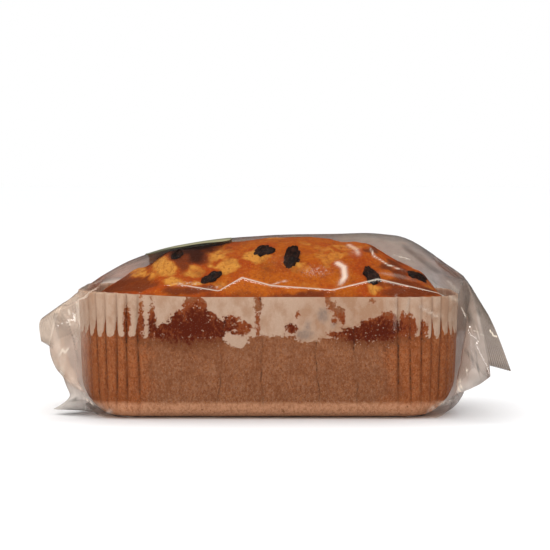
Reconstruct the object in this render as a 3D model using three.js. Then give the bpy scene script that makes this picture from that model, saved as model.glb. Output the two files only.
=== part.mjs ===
// A loaf cake in a pleated paper case, sealed in a clear flow-wrap bag with a paper label on top.
// The bag is modelled as one filled solid out to its film: the flat base that the pack stands on, the
// sides that lean out with the case, the crease along each shoulder, the tent over the cake's dome,
// and at each end the tube drawn flat into a crimped fin whose corners droop.
// Millimetres. X runs along the loaf, -Y is the front long side, +Z is up, and the origin is the
// middle of the base.
import * as THREE from "three";

// ---- Driving sizes ----
const BASE_HALF_WIDTH = 37.5; // of the film round the case's foot
const RIM_HALF_WIDTH = 46.5; // of the film round the case's rim
const RIM_HEIGHT = 57;
const BODY_END = 74; // where the straight body stops and the ends begin to close
const CORNER_TUCK = 3; // how far the sides pull in by there
const TUCK_START = 52;

// Height of the film's crest along the loaf, as [x, z]: tented on the left, tight over the cake, and
// falling sharply on the right.
const CREST = [[-96, 53], [-84, 61.8], [-66, 71.3], [-36, 78.8], [0, 82.4], [52, 82.8], [64, 80.4], [91, 61]];
// Height of the crease where the film leaves the side for the slope over the cake. It wanders in
// straight runs, as creased film does.
const FRONT_SHOULDER = [[-97, 59], [-43, 62], [-25, 59], [-15, 65], [0, 61], [29, 59], [51, 64], [91, 58.5]];
const BACK_SHOULDER = [[-97, 59], [-52, 60], [-30, 64.5], [-6, 59.5], [24, 63.5], [46, 60], [91, 58.5]];
const SHOULDER_LEAN = 0.35; // the crease moves this far inwards for each millimetre above the rim
const DOME_POWER = 1.9; // how square the film's arch is across the loaf

// The near and far fold of the flattened ends start on the side, this high up.
const FOLD_HEIGHT = 10;
// The share of the base's half width that runs on flat at the ends before the film lifts.
const FLAT_SHARE = 0.4;

// Each end: the line where the film is first pressed together, the cut edge of the fin, and how much
// the fin's corners droop and run out. The near corner is at -Y. A high `cornerPower` keeps the line
// straight almost to its corners. `leave` is how far the film runs on straight from the body before it
// turns, and `arrive` the [x, z] pull with which it meets the fin, each for the floor, the fold and
// the top of the loop.
const LEFT_END = {
  side: -1,
  inner: { x: 96, z: 53, halfWidth: 50, nearDroop: 17, farDroop: 18, nearRun: 3, farRun: 0 },
  cut: { x: 105, z: 46, halfWidth: 52, nearDroop: 8, farDroop: 20, nearRun: -2.5, farRun: 0 },
  cornerPower: 6,
  leave: { floor: 20, fold: 12, top: 7 },
  arrive: { floor: [-7, 36], fold: [0.5, 14], top: [7, -5.5] },
};
const RIGHT_END = {
  side: 1,
  inner: { x: 91, z: 61, halfWidth: 53, nearDroop: 40, farDroop: 27, nearRun: 6, farRun: 3 },
  cut: { x: 98.5, z: 48, halfWidth: 60, nearDroop: 24, farDroop: 17, nearRun: 6.9, farRun: 5 },
  cornerPower: 2.5,
  leave: { floor: 17, fold: 12, top: 6 },
  arrive: { floor: [-4, 44], fold: [6, 5], top: [6, -5] },
};
const FIN_THICKNESS = 1.2;

// The ear, a loose fold of film that stands out of the front of the left end, just off the floor.
// `around` is the share of the way from the base's middle to the crest, and `along` the share of the
// way from the body to the fin.
const EAR = { side: -1, along: 0.3, alongReach: 0.16, around: 0.13, aroundReach: 0.06, out: 13, drop: 1 };

// The label, a thin sheet stuck on the film over the crest, a little towards the back.
const LABEL = { centreX: -39, centreY: 13, length: 40, width: 50, corner: 4, thickness: 0.6, gap: 0.35 };

// ---- Mesh density ----
const BODY_STATIONS = 30;
const END_STATIONS = 10;
const FIN_STATIONS = 2;
// Vertices on a quarter of the loop: along the base, up the side to the fold, on to the rim, to the
// shoulder and over the dome. Two quarters make each half, so the fin's two layers match.
const RING_COUNTS = { base: 6, lowSide: 6, highSide: 4, shoulder: 2, dome: 6 };

// ---- Helpers ----
const lerp = (a, b, t) => a + (b - a) * t;

// Piecewise-linear value of a [x, value] profile.
function straightRuns(profile, x) {
  if (x <= profile[0][0]) return profile[0][1];
  for (let i = 1; i < profile.length; i++) {
    if (x <= profile[i][0]) {
      const [x0, v0] = profile[i - 1];
      const [x1, v1] = profile[i];
      return lerp(v0, v1, (x - x0) / (x1 - x0));
    }
  }
  return profile[profile.length - 1][1];
}

// The same profile as a smooth curve, with three-point slopes (a cubic Hermite in each run).
function smoothCurve(profile, x) {
  const last = profile.length - 1;
  const slope = (i) => {
    const a = profile[Math.max(i - 1, 0)];
    const b = profile[Math.min(i + 1, last)];
    return (b[1] - a[1]) / (b[0] - a[0]);
  };
  const inside = Math.min(Math.max(x, profile[0][0]), profile[last][0]);
  let i = 0;
  while (i < last - 1 && inside > profile[i + 1][0]) i++;
  const [x0, v0] = profile[i];
  const [x1, v1] = profile[i + 1];
  const span = x1 - x0;
  const t = (inside - x0) / span;
  const t2 = t * t;
  const t3 = t2 * t;
  return (
    v0 * (2 * t3 - 3 * t2 + 1) +
    v1 * (3 * t2 - 2 * t3) +
    span * (slope(i) * (t3 - 2 * t2 + t) + slope(i + 1) * (t3 - t2))
  );
}

function bezier(p0, p1, p2, p3, t) {
  const s = 1 - t;
  return new THREE.Vector3()
    .addScaledVector(p0, s * s * s)
    .addScaledVector(p1, 3 * s * s * t)
    .addScaledVector(p2, 3 * s * t * t)
    .addScaledVector(p3, t * t * t);
}

// ---- The loop round the loaf ----
// Half a loop is walked by `around`: 0 is the base's middle, BASE_CORNER the base's edge, RIM and
// SHOULDER the two creases, and 1 the crest. FOLD is where the flattened ends fold.
const BASE_CORNER = 0.25;
const RIM = 0.5;
const SHOULDER = 0.55;
const FOLD = lerp(BASE_CORNER, RIM, FOLD_HEIGHT / RIM_HEIGHT);

function steps(from, to, count) {
  return Array.from({ length: count }, (_, i) => lerp(from, to, i / count));
}

function halfRing() {
  return [
    ...steps(0, BASE_CORNER, RING_COUNTS.base),
    ...steps(BASE_CORNER, FOLD, RING_COUNTS.lowSide),
    ...steps(FOLD, RIM, RING_COUNTS.highSide),
    ...steps(RIM, SHOULDER, RING_COUNTS.shoulder),
    ...steps(SHOULDER, 1, RING_COUNTS.dome),
  ];
}

// A point of the body's film in the plane at x. hand is -1 for the front half and 1 for the back.
function bodyPoint(x, around, hand) {
  const tuck = CORNER_TUCK * THREE.MathUtils.smoothstep(Math.abs(x), TUCK_START, BODY_END);
  const base = BASE_HALF_WIDTH - tuck;
  const rim = RIM_HALF_WIDTH - tuck;
  const shoulderZ = straightRuns(hand < 0 ? FRONT_SHOULDER : BACK_SHOULDER, x);
  const shoulderY = rim - SHOULDER_LEAN * (shoulderZ - RIM_HEIGHT);
  let y;
  let z;
  if (around <= BASE_CORNER) {
    y = base * (around / BASE_CORNER);
    z = 0;
  } else if (around <= RIM) {
    const t = (around - BASE_CORNER) / (RIM - BASE_CORNER);
    y = lerp(base, rim, t);
    z = RIM_HEIGHT * t;
  } else if (around <= SHOULDER) {
    const t = (around - RIM) / (SHOULDER - RIM);
    y = lerp(rim, shoulderY, t);
    z = lerp(RIM_HEIGHT, shoulderZ, t);
  } else {
    const t = (1 - around) / (1 - SHOULDER);
    y = shoulderY * t;
    z = shoulderZ + (smoothCurve(CREST, x) - shoulderZ) * (1 - t ** DOME_POWER);
  }
  return new THREE.Vector3(x, hand * y, z);
}

// ---- The ends ----
// A point of a line across an end. across runs from -1, the near corner, to 1, the far one.
function acrossEnd(end, line, across) {
  const share = Math.abs(across);
  const [droop, run] = across < 0 ? [line.nearDroop, line.nearRun] : [line.farDroop, line.farRun];
  const corner = share ** end.cornerPower;
  const x = end.side * (line.x + run * corner);
  return new THREE.Vector3(x, line.halfWidth * across, line.z - droop * corner);
}

// How far out along the end's line a loop point goes: 0 in the middle, 1 at the fold.
function shareToFold(around) {
  if (around <= BASE_CORNER) return 0.5 * (around / BASE_CORNER);
  if (around <= FOLD) return lerp(0.5, 1, (around - BASE_CORNER) / (FOLD - BASE_CORNER));
  return 1 - (around - FOLD) / (1 - FOLD);
}

// The fin's two layers lie this far above (+) or below (-) its middle, and close at the corners.
function layerOffset(around) {
  const share = shareToFold(around);
  return (around > FOLD ? 1 : -1) * 0.5 * FIN_THICKNESS * (1 - share ** 8);
}

function finPoint(end, t, around, hand) {
  const across = hand * shareToFold(around);
  const inner = acrossEnd(end, end.inner, across);
  const cut = acrossEnd(end, end.cut, across);
  const outward = cut.clone().sub(inner);
  // The fin's upper side faces up and outwards.
  const normal = new THREE.Vector3(-end.side * outward.z, 0, end.side * outward.x).normalize();
  return inner.lerp(cut, t).addScaledVector(normal, layerOffset(around));
}

// From the body to the fin: a Bezier curve for each loop point. The base runs on flat and then turns
// up the end wall, its corners lift along the fold, and the top slopes down to the fin.
function closingPoint(end, t, around, hand) {
  const x0 = end.side * BODY_END;
  const start = bodyPoint(x0, around, hand);
  const finish = finPoint(end, 0, around, hand);
  const floor = THREE.MathUtils.smoothstep(FOLD - around, 0, FOLD - FLAT_SHARE * BASE_CORNER);
  const top = THREE.MathUtils.smoothstep(around - FOLD, 0, SHOULDER - FOLD);
  const fold = 1 - floor - top;
  const slope = (start.z - bodyPoint(x0 - end.side, around, hand).z) * top;
  const leave = floor * end.leave.floor + fold * end.leave.fold + top * end.leave.top;
  const first = start.clone().add(new THREE.Vector3(end.side * leave, 0, slope * leave));
  const pull = (i) => floor * end.arrive.floor[i] + fold * end.arrive.fold[i] + top * end.arrive.top[i];
  const second = finish.clone().sub(new THREE.Vector3(end.side * pull(0), 0, pull(1)));
  const point = bezier(start, first, second, finish, t);
  if (end.side === EAR.side && hand < 0) {
    const nearFold = Math.max(0, 1 - Math.abs(t - EAR.along) / EAR.alongReach);
    const nearLine = Math.exp(-(((around - EAR.around) / EAR.aroundReach) ** 2));
    point.x += end.side * EAR.out * nearFold * nearLine;
    point.z -= EAR.drop * nearFold * nearLine;
  }
  return point;
}

// ---- Skin: loops from the left cut edge to the right one ----
function loop(pointAt) {
  const ring = halfRing();
  const front = [...ring, 1].map((around) => pointAt(around, -1));
  const back = ring
    .slice(1)
    .reverse()
    .map((around) => pointAt(around, 1));
  return [...front, ...back];
}

function bagLoops() {
  const loops = [];
  for (let i = 0; i < FIN_STATIONS; i++) {
    const t = 1 - i / FIN_STATIONS;
    loops.push(loop((around, hand) => finPoint(LEFT_END, t, around, hand)));
  }
  for (let i = 0; i < END_STATIONS; i++) {
    const t = 1 - i / END_STATIONS;
    loops.push(loop((around, hand) => closingPoint(LEFT_END, t, around, hand)));
  }
  for (let i = 0; i <= BODY_STATIONS; i++) {
    const x = lerp(-BODY_END, BODY_END, i / BODY_STATIONS);
    loops.push(loop((around, hand) => bodyPoint(x, around, hand)));
  }
  for (let i = 1; i <= END_STATIONS; i++) {
    const t = i / END_STATIONS;
    loops.push(loop((around, hand) => closingPoint(RIGHT_END, t, around, hand)));
  }
  for (let i = 1; i <= FIN_STATIONS; i++) {
    const t = i / FIN_STATIONS;
    loops.push(loop((around, hand) => finPoint(RIGHT_END, t, around, hand)));
  }
  return loops;
}

// Joins loops of equal count into a closed skin, with each end capped across the fin's two layers.
function skinGeometry(loops) {
  const count = loops[0].length;
  const positions = loops.flat().flatMap((p) => [p.x, p.y, p.z]);
  const faces = [];
  for (let i = 0; i + 1 < loops.length; i++) {
    for (let j = 0; j < count; j++) {
      const k = (j + 1) % count;
      const a = i * count;
      const b = a + count;
      faces.push(a + j, b + j, a + k, a + k, b + j, b + k);
    }
  }
  const half = count / 2;
  const cap = (first, turned) => {
    const edge = (j) => first + ((j + count) % count);
    const add = (a, b, c) => faces.push(...(turned ? [a, c, b] : [a, b, c]));
    // Pairs run from the near fold to the far one: j counts down on the lower layer, up on the upper.
    const fold = RING_COUNTS.base + RING_COUNTS.lowSide;
    for (let j = 0; j < half; j++) {
      const lower = edge(fold - j);
      const lowerNext = edge(fold - j - 1);
      const upper = edge(fold + j);
      const upperNext = edge(fold + j + 1);
      if (lower !== upper) add(lower, lowerNext, upper);
      if (lowerNext !== upperNext) add(lowerNext, upperNext, upper);
    }
  };
  cap(0, true);
  cap((loops.length - 1) * count, false);
  return new THREE.BufferGeometry()
    .setAttribute("position", new THREE.Float32BufferAttribute(positions, 3))
    .setIndex(faces);
}

// ---- The label ----
function filmTop(x, y) {
  const hand = y < 0 ? -1 : 1;
  const shoulderZ = straightRuns(hand < 0 ? FRONT_SHOULDER : BACK_SHOULDER, x);
  const shoulderY = RIM_HALF_WIDTH - SHOULDER_LEAN * (shoulderZ - RIM_HEIGHT);
  return shoulderZ + (smoothCurve(CREST, x) - shoulderZ) * (1 - (Math.abs(y) / shoulderY) ** DOME_POWER);
}

// A rounded rectangle cut as a grid whose outer points are pulled in round the corners, laid on the
// film and given its thickness.
function labelGeometry() {
  const across = 12;
  const positions = [];
  const faces = [];
  const halfX = LABEL.length / 2;
  const halfY = LABEL.width / 2;
  for (const lift of [LABEL.gap, LABEL.gap + LABEL.thickness]) {
    for (let i = 0; i <= across; i++) {
      for (let j = 0; j <= across; j++) {
        let u = lerp(-halfX, halfX, i / across);
        let v = lerp(-halfY, halfY, j / across);
        const overU = Math.max(0, Math.abs(u) - (halfX - LABEL.corner));
        const overV = Math.max(0, Math.abs(v) - (halfY - LABEL.corner));
        const over = Math.hypot(overU, overV);
        const square = Math.max(overU, overV);
        if (over > 0) {
          u -= Math.sign(u) * overU * (1 - square / over);
          v -= Math.sign(v) * overV * (1 - square / over);
        }
        const x = LABEL.centreX + u;
        const y = LABEL.centreY + v;
        positions.push(x, y, filmTop(x, y) + lift);
      }
    }
  }
  const row = across + 1;
  const sheet = row * row;
  const at = (i, j, layer) => layer * sheet + i * row + j;
  for (let i = 0; i < across; i++) {
    for (let j = 0; j < across; j++) {
      faces.push(at(i, j, 1), at(i + 1, j, 1), at(i + 1, j + 1, 1));
      faces.push(at(i, j, 1), at(i + 1, j + 1, 1), at(i, j + 1, 1));
      faces.push(at(i, j, 0), at(i + 1, j + 1, 0), at(i + 1, j, 0));
      faces.push(at(i, j, 0), at(i, j + 1, 0), at(i + 1, j + 1, 0));
    }
  }
  const wall = (a, b, aUp, bUp) => faces.push(a, b, bUp, a, bUp, aUp);
  for (let k = 0; k < across; k++) {
    wall(at(k, 0, 0), at(k + 1, 0, 0), at(k, 0, 1), at(k + 1, 0, 1));
    wall(at(k + 1, across, 0), at(k, across, 0), at(k + 1, across, 1), at(k, across, 1));
    wall(at(0, k + 1, 0), at(0, k, 0), at(0, k + 1, 1), at(0, k, 1));
    wall(at(across, k, 0), at(across, k + 1, 0), at(across, k, 1), at(across, k + 1, 1));
  }
  return new THREE.BufferGeometry()
    .setAttribute("position", new THREE.Float32BufferAttribute(positions, 3))
    .setIndex(faces);
}

// ---- Assembly ----
const filmMaterial = new THREE.MeshStandardMaterial({
  color: 0xc9966a,
  roughness: 0.2,
  metalness: 0,
  transparent: true,
  opacity: 0.6,
});
const labelMaterial = new THREE.MeshStandardMaterial({ color: 0xa9b97a, roughness: 0.5, metalness: 0 });

const filmBag = new THREE.Mesh(skinGeometry(bagLoops()), filmMaterial);
filmBag.name = "film_bag";

const label = new THREE.Mesh(labelGeometry(), labelMaterial);
label.name = "label";

const packagedLoafCake = new THREE.Group();
packagedLoafCake.add(filmBag, label);

export default packagedLoafCake;
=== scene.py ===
# A raisin loaf cake in a pleated paper case, sealed in a clear flow-wrap bag with a paper label.
# The pieces are made from the inside out: the case, the cake, its raisins, the film, the seam under it
# and the label. Shapes are worked out in millimetres and become metres when a mesh is made. X runs
# along the loaf, -Y is the front long side, and z = 0 is what the pack stands on.
import math

import bmesh
import bpy
import numpy as np
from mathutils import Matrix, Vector
from mathutils.bvhtree import BVHTree


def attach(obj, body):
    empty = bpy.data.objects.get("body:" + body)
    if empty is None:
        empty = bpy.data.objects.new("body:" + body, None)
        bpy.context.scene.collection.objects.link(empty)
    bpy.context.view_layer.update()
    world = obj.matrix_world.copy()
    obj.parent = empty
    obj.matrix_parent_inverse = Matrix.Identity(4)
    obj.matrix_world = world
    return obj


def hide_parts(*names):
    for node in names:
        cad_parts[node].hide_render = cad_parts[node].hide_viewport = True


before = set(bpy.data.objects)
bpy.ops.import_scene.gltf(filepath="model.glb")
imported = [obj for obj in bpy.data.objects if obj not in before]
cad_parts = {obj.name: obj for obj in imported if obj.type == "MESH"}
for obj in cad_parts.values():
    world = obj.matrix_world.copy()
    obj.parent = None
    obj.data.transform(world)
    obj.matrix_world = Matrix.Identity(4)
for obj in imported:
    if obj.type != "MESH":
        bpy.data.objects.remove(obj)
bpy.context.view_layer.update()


# ---- The studio ----
# A wide pale floor under a pale surround. A broad soft light stands above and behind the pack, two
# weaker ones in front and at the left, and small lamps draw bright lines along the creases of the film.
MM = 0.001
FLOOR_REACH = 40000.0
FLOOR_COLOUR = (0.93, 0.95, 0.98, 1)


def new_material(name):
    """An empty node material and its tree."""
    material = bpy.data.materials.new(name)
    material.use_nodes = True
    material.node_tree.nodes.clear()
    return material, material.node_tree


def put(tree, kind, inputs=None, **settings):
    """Adds a node with these settings. Its inputs, by name or number, take values or other sockets."""
    made = tree.nodes.new(kind)
    for key, value in settings.items():
        setattr(made, key, value)
    for key, value in (inputs or {}).items():
        if isinstance(value, bpy.types.NodeSocket):
            tree.links.new(value, made.inputs[key])
        else:
            made.inputs[key].default_value = value
    return made


def tree_of(values):
    """The node tree of the first socket among some values."""
    return next(value.id_data for value in values if isinstance(value, bpy.types.NodeSocket))


def math_node(operation, *values):
    """The result socket of a Math node."""
    return put(tree_of(values), "ShaderNodeMath", dict(enumerate(values)), operation=operation).outputs[0]


def times(first, second):
    return math_node("MULTIPLY", first, second)


def plus(first, second):
    return math_node("ADD", first, second)


def principled(tree, colour, roughness, specular, normal=None):
    """The result socket of a Principled shader."""
    inputs = {"Base Color": colour, "Roughness": roughness, "Specular IOR Level": specular}
    if normal is not None:
        inputs["Normal"] = normal
    return put(tree, "ShaderNodeBsdfPrincipled", inputs).outputs[0]


def end_material(shader):
    put(shader.id_data, "ShaderNodeOutputMaterial", {"Surface": shader})


def mesh_object(name, points, faces, material):
    """A smooth-shaded object with its place in its mesh, from points in millimetres."""
    mesh = bpy.data.meshes.new(name)
    mesh.from_pydata((np.asarray(points, float) * MM).tolist(), [], faces)
    mesh.polygons.foreach_set("use_smooth", [True] * len(mesh.polygons))
    mesh.materials.append(material)
    made = bpy.data.objects.new(name, mesh)
    bpy.context.scene.collection.objects.link(made)
    return made


floor_material, tree = new_material("pale_floor")
end_material(principled(tree, FLOOR_COLOUR, 0.9, 0.1))
floor_corners = [(x * FLOOR_REACH, y * FLOOR_REACH, 0) for x, y in ((-1, -1), (1, -1), (1, 1), (-1, 1))]
floor = mesh_object("floor", floor_corners, [(0, 1, 2, 3)], floor_material)
floor.visible_glossy = False

# The surround is white to the camera, and dimmer as a light and in reflections.
SEEN_STRENGTH = 1.0
LIGHT_STRENGTH = 0.5
MIRRORED_STRENGTH = 0.05
world = bpy.data.worlds.new("pale_surround")
world.use_nodes = True
tree = world.node_tree
path = put(tree, "ShaderNodeLightPath").outputs
seen = times(path["Is Camera Ray"], SEEN_STRENGTH - LIGHT_STRENGTH)
mirrored = times(path["Is Glossy Ray"], MIRRORED_STRENGTH - LIGHT_STRENGTH)
strength = plus(plus(seen, mirrored), LIGHT_STRENGTH)
backdrop = tree.nodes["Background"]
backdrop.inputs["Color"].default_value = (1, 1, 1, 1)
tree.links.new(strength, backdrop.inputs["Strength"])
bpy.context.scene.world = world
bpy.context.scene.view_settings.view_transform = "Standard"

LAMP_COLOUR = (1.0, 0.97, 0.93)
LAMP_TARGET = Vector((0, 0, 45))


def add_lamp(name, kind, place, strength, in_reflections=True, **sizes):
    """A lamp at a place in millimetres that faces the pack."""
    lamp = bpy.data.lights.new(name, kind)
    lamp.energy = strength
    lamp.color = LAMP_COLOUR
    for key, value in sizes.items():
        setattr(lamp, key, value)
    holder = bpy.data.objects.new(name, lamp)
    holder.location = Vector(place) * MM
    holder.rotation_mode = "QUATERNION"
    holder.rotation_quaternion = (LAMP_TARGET - Vector(place)).to_track_quat("-Z", "Y")
    holder.visible_glossy = in_reflections
    bpy.context.scene.collection.objects.link(holder)


add_lamp("overhead_light", "SUN", (-150, 250, 1000), 2.05, False, angle=math.radians(70))
add_lamp("front_fill", "AREA", (-420, -900, 480), 1.05, False, shape="DISK", size=0.5)
add_lamp("left_fill", "AREA", (-750, -430, 300), 0.9, False, shape="DISK", size=0.5)
add_lamp("crease_strip", "AREA", (0, -560, 470), 1.0, shape="RECTANGLE", size=0.7, size_y=0.035)
add_lamp("left_glint", "AREA", (-330, -420, 430), 0.12, shape="DISK", size=0.07)
add_lamp("right_glint", "AREA", (390, -380, 400), 0.3, shape="DISK", size=0.07)

# The camera stands level with the pack's top, a little under a metre away, and is turned up and aside
# by a degree, so that the pack sits low in the frame as in the photograph.
CAMERA_DISTANCE = 940.0
CAMERA_ELEVATION = math.radians(4.0)
CAMERA_AIM_HEIGHT = 42.0
CAMERA_LENS = 130.9
PITCH_UP = math.radians(1.32)
TURN_RIGHT = math.radians(0.09)
camera = bpy.data.objects.new("camera", bpy.data.cameras.new("camera"))
camera.data.lens = CAMERA_LENS
camera_height = CAMERA_AIM_HEIGHT + CAMERA_DISTANCE * math.sin(CAMERA_ELEVATION)
camera.location = Vector((0, -CAMERA_DISTANCE * math.cos(CAMERA_ELEVATION), camera_height)) * MM
camera.rotation_euler = (math.radians(90) - CAMERA_ELEVATION + PITCH_UP, 0, -TURN_RIGHT)
bpy.context.scene.collection.objects.link(camera)
bpy.context.scene.camera = camera


# ---- The paper case ----
# A sheet of thin baking paper pressed into a loaf mould: long sides nearly flat, corners and ends
# gathered into pleats that spread towards the rim. Fat from the cake has soaked the lower part brown.
CASE_FOOT = (85.6, 36.6, 24.0)  # half length, half width and corner radius
CASE_RIM = (87.4, 44.6, 27.0)
CASE_MIDDLE = -1.6  # the case sits this far left of the bag's middle
CASE_HEIGHT = 55.8
CASE_LIFT = 0.9  # the case's underside lies this far above the floor, on the film and its seam
SIDE_FOOT_ROUND = 5.0
END_FOOT_ROUND = 17.0
RIM_RISE = 2.2  # how much higher the rim stands at the left end
PAPER_THICKNESS = 0.25
SIDE_SAG = 0.3  # how far the flat sides wander in and out
SIDE_INSET = 0.4  # how far they lie further in than the pleats
PLEAT_START = 52.0  # the long sides are flat from the middle out to here
PLEAT_PITCH = 5.6
PLEAT_DEPTH = 2.2
PLEAT_WANDER = 0.9  # how far a pleat strays from its even place
CASE_COLUMNS = 900
CASE_ROWS = 38
FLOOR_RINGS = 4
FOOT_RINGS = 7
# Creases of the flat sides, from left to right: x at the rim, how far they lean by the foot, and how
# deep they are.
SIDE_CREASES = [(-41, 1, 0.2), (-20, -5, 0.5), (-5, 1, 0.6), (19, 2, 0.6), (36.5, 1.5, 0.5), (47, -1, 0.15)]
CREASE_SPREAD = 0.9
SOAK_HEIGHT = 37.5
# Where fat has soaked further up the front, and where the paper stayed dry lower down: the x, z, half
# width and half height of each spot.
FRONT_SOAKED = [
    (-34.5, 51, 5.5, 6), (-35, 44.5, 11, 6.5), (-29, 41.5, 13, 4.5), (-45, 40, 9, 4), (-53.5, 43, 1.6, 9),
    (-58.5, 44, 1.3, 10), (-65, 44, 1.7, 7), (-18, 45.5, 4, 1.8), (-13, 41.5, 4, 3), (-6, 52, 2, 4),
    (-6.3, 44, 0.9, 9), (8.5, 41.2, 2.8, 2.2), (11.7, 48, 1, 1.3), (25.2, 54, 1.3, 3), (27.2, 51.3, 1.7, 2.6),
    (30.2, 48.8, 2.5, 2.8), (31.8, 46, 1.1, 2.2), (27.8, 45, 0.8, 1.2), (28.5, 38.5, 4, 1.6),
    (38, 38.5, 8, 3.5), (46, 41, 7.5, 5.5), (51.8, 42.5, 4.6, 7), (44.8, 54.2, 1.3, 1.3), (61, 42, 4.2, 6),
    (58.5, 46.5, 1.4, 3), (69, 41, 1.2, 3.5),
]  # fmt: skip
FRONT_DRY = [(-15, 35.5, 4.2, 3.0), (-19.5, 37, 2, 3), (16, 37, 5, 2)]
# Where the soaked paper is darkest, and where the dry paper shows a raisin behind it as a grey smudge.
FRONT_DARKEST = [
    (-37, 42.5, 14, 5), (-34, 47, 6, 4), (-34.5, 37.8, 10, 4.5), (42, 39.5, 7, 3.5), (49, 40, 6, 3.5),
    (-20, 39.5, 2.5, 2), (9, 41, 1.5, 1.5),
]  # fmt: skip
FRONT_SMUDGES = [(22.8, 47.5, 2.9, 3.8), (14.5, 38.5, 4.5, 2.6), (16.0, 42, 1.5, 3.5), (27.5, 43.5, 1.2, 2.0)]


def rounded_outline(length, width, corner, count):
    """Points, outward normals and distances walked round a rounded rectangle, from its front middle."""
    flat_x = length - corner
    flat_y = width - corner
    arc = corner * math.pi / 2
    # Each stretch: how long it is, then the start and heading of a side, or the centre and first angle
    # of a corner.
    stretches = [
        (flat_x, (0, -width), (1, 0)),
        (arc, (flat_x, -flat_y), -math.pi / 2),
        (2 * flat_y, (length, -flat_y), (0, 1)),
        (arc, (flat_x, flat_y), 0.0),
        (2 * flat_x, (flat_x, width), (-1, 0)),
        (arc, (-flat_x, flat_y), math.pi / 2),
        (2 * flat_y, (-length, flat_y), (0, -1)),
        (arc, (-flat_x, -flat_y), math.pi),
        (flat_x, (-flat_x, -width), (1, 0)),
    ]
    walked = np.linspace(0, sum(stretch[0] for stretch in stretches), count, endpoint=False)
    points = np.zeros((count, 2))
    normals = np.zeros((count, 2))
    start = 0.0
    for run, origin, turn in stretches:
        inside = (walked >= start) & (walked < start + run)
        along = (walked[inside] - start)[:, None]
        if isinstance(turn, tuple):
            points[inside] = np.array(origin) + along * np.array(turn)
            normals[inside] = (turn[1], -turn[0])
        else:
            angle = turn + along[:, 0] / corner
            normals[inside] = np.stack([np.cos(angle), np.sin(angle)], 1)
            points[inside] = np.array(origin) + corner * normals[inside]
        start += run
    return points, normals, walked


rim_outline, rim_normals, rim_walked = rounded_outline(*CASE_RIM, CASE_COLUMNS)
rim_length = rim_walked[-1] + rim_walked[1]
foot_round = SIDE_FOOT_ROUND + (END_FOOT_ROUND - SIDE_FOOT_ROUND) * rim_normals[:, 0] ** 2


def case_ring(height, inset):
    """The case's outline at a height, pulled in by inset. Its points lie under the rim's points."""
    sizes = CASE_FOOT + np.subtract(CASE_RIM, CASE_FOOT) * np.reshape(height, (-1, 1)) / CASE_HEIGHT
    corner = sizes[:, 2:]
    rim_core = np.array(CASE_RIM[:2]) - CASE_RIM[2]
    inner = (rim_outline - CASE_RIM[2] * rim_normals) * (sizes[:, :2] - corner) / rim_core
    return inner + (corner - np.reshape(inset, (-1, 1))) * rim_normals + (CASE_MIDDLE, 0)


def loop_at(outline, level):
    """A loop of points from an outline and its height or heights."""
    return np.column_stack([outline, np.broadcast_to(level, len(outline))])


def foot_loops(rings, inset, lift):
    """Loops from the middle of the base out and round the foot, pulled in by inset and raised by lift."""
    loops = [loop_at(case_ring(0, foot_round + inset) * (i / rings), lift) for i in range(rings)]
    for angle in np.arange(FOOT_RINGS) / (FOOT_RINGS - 1) * math.pi / 2:
        level = foot_round * (1 - math.cos(angle))
        loops.append(loop_at(case_ring(level, foot_round * (1 - math.sin(angle)) + inset), lift + level))
    return loops


def smooth_noise(points, size, seed):
    """Seeded value noise from -1 to 1, in lumps of about this size (one number or three)."""
    table = np.random.default_rng(seed).uniform(-1, 1, (32, 32, 32))
    place = np.asarray(points, float) / size
    cell = np.floor(place).astype(int)
    part = place - cell
    part = part * part * (3 - 2 * part)
    total = np.zeros(len(place))
    for corner in np.ndindex(2, 2, 2):
        weight = np.prod(np.where(corner, part, 1 - part), axis=1)
        total += weight * table[tuple(((cell + corner) % 32).T)]
    return total


def smoothstep(low, high, value):
    share = np.clip((value - low) / (high - low), 0, 1)
    return share * share * (3 - 2 * share)


def loop_faces(loops, count):
    """Quads between closed loops of equal count."""
    faces = []
    for i in range(loops - 1):
        for j in range(count):
            k = (j + 1) % count
            faces.append((i * count + j, i * count + k, (i + 1) * count + k, (i + 1) * count + j))
    return faces


def rim_rise(ring, level):
    """How much higher the case stands at its left end, along a ring at this level."""
    return RIM_RISE * smoothstep(-30, -85, ring[:, 0]) * smoothstep(20, CASE_HEIGHT, level)


def set_attributes(made, **fields):
    """Gives each vertex a number under each name, or a vector where the values come in threes."""
    for name, values in fields.items():
        is_vector = np.shape(values)[-1] == 3
        made_field = made.data.attributes.new(name, "FLOAT_VECTOR" if is_vector else "FLOAT", "POINT")
        flat_values = np.asarray(values, np.float32).ravel()
        made_field.data.foreach_set("vector" if is_vector else "value", flat_values)


def spot_field(x, z, spots):
    """Above 0 inside the nearest of some ellipses, and falling below 0 outside them, in millimetres."""
    field = np.full(len(x), -9.0)
    for spot_x, spot_z, half_x, half_z in spots:
        away = np.hypot((x - spot_x) / half_x, (z - spot_z) / half_z)
        field = np.maximum(field, (1 - away) * min(half_x, half_z))
    return field


def merge_and_face_out(made):
    """Merges the vertices that share a place, and turns every face of the closed skin outwards."""
    work = bmesh.new()
    work.from_mesh(made.data)
    bmesh.ops.remove_doubles(work, verts=work.verts, dist=1e-6)
    bmesh.ops.recalc_face_normals(work, faces=work.faces)
    work.to_mesh(made.data)
    work.free()


# The wall's loops, from the middle of the base out to the foot's rounding and up to the rim.
case_loops = foot_loops(FLOOR_RINGS, 0, 0)
for i in range(1, CASE_ROWS + 1):
    level = foot_round + (CASE_HEIGHT - foot_round) * i / CASE_ROWS
    ring = case_ring(level, 0)
    case_loops.append(loop_at(ring, level + rim_rise(ring, level)))
case_points = np.concatenate(case_loops)
walked = np.tile(rim_walked, len(case_loops))
rim_x = np.tile(rim_outline[:, 0] + CASE_MIDDLE, len(case_loops))
level = case_points[:, 2].copy()

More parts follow.
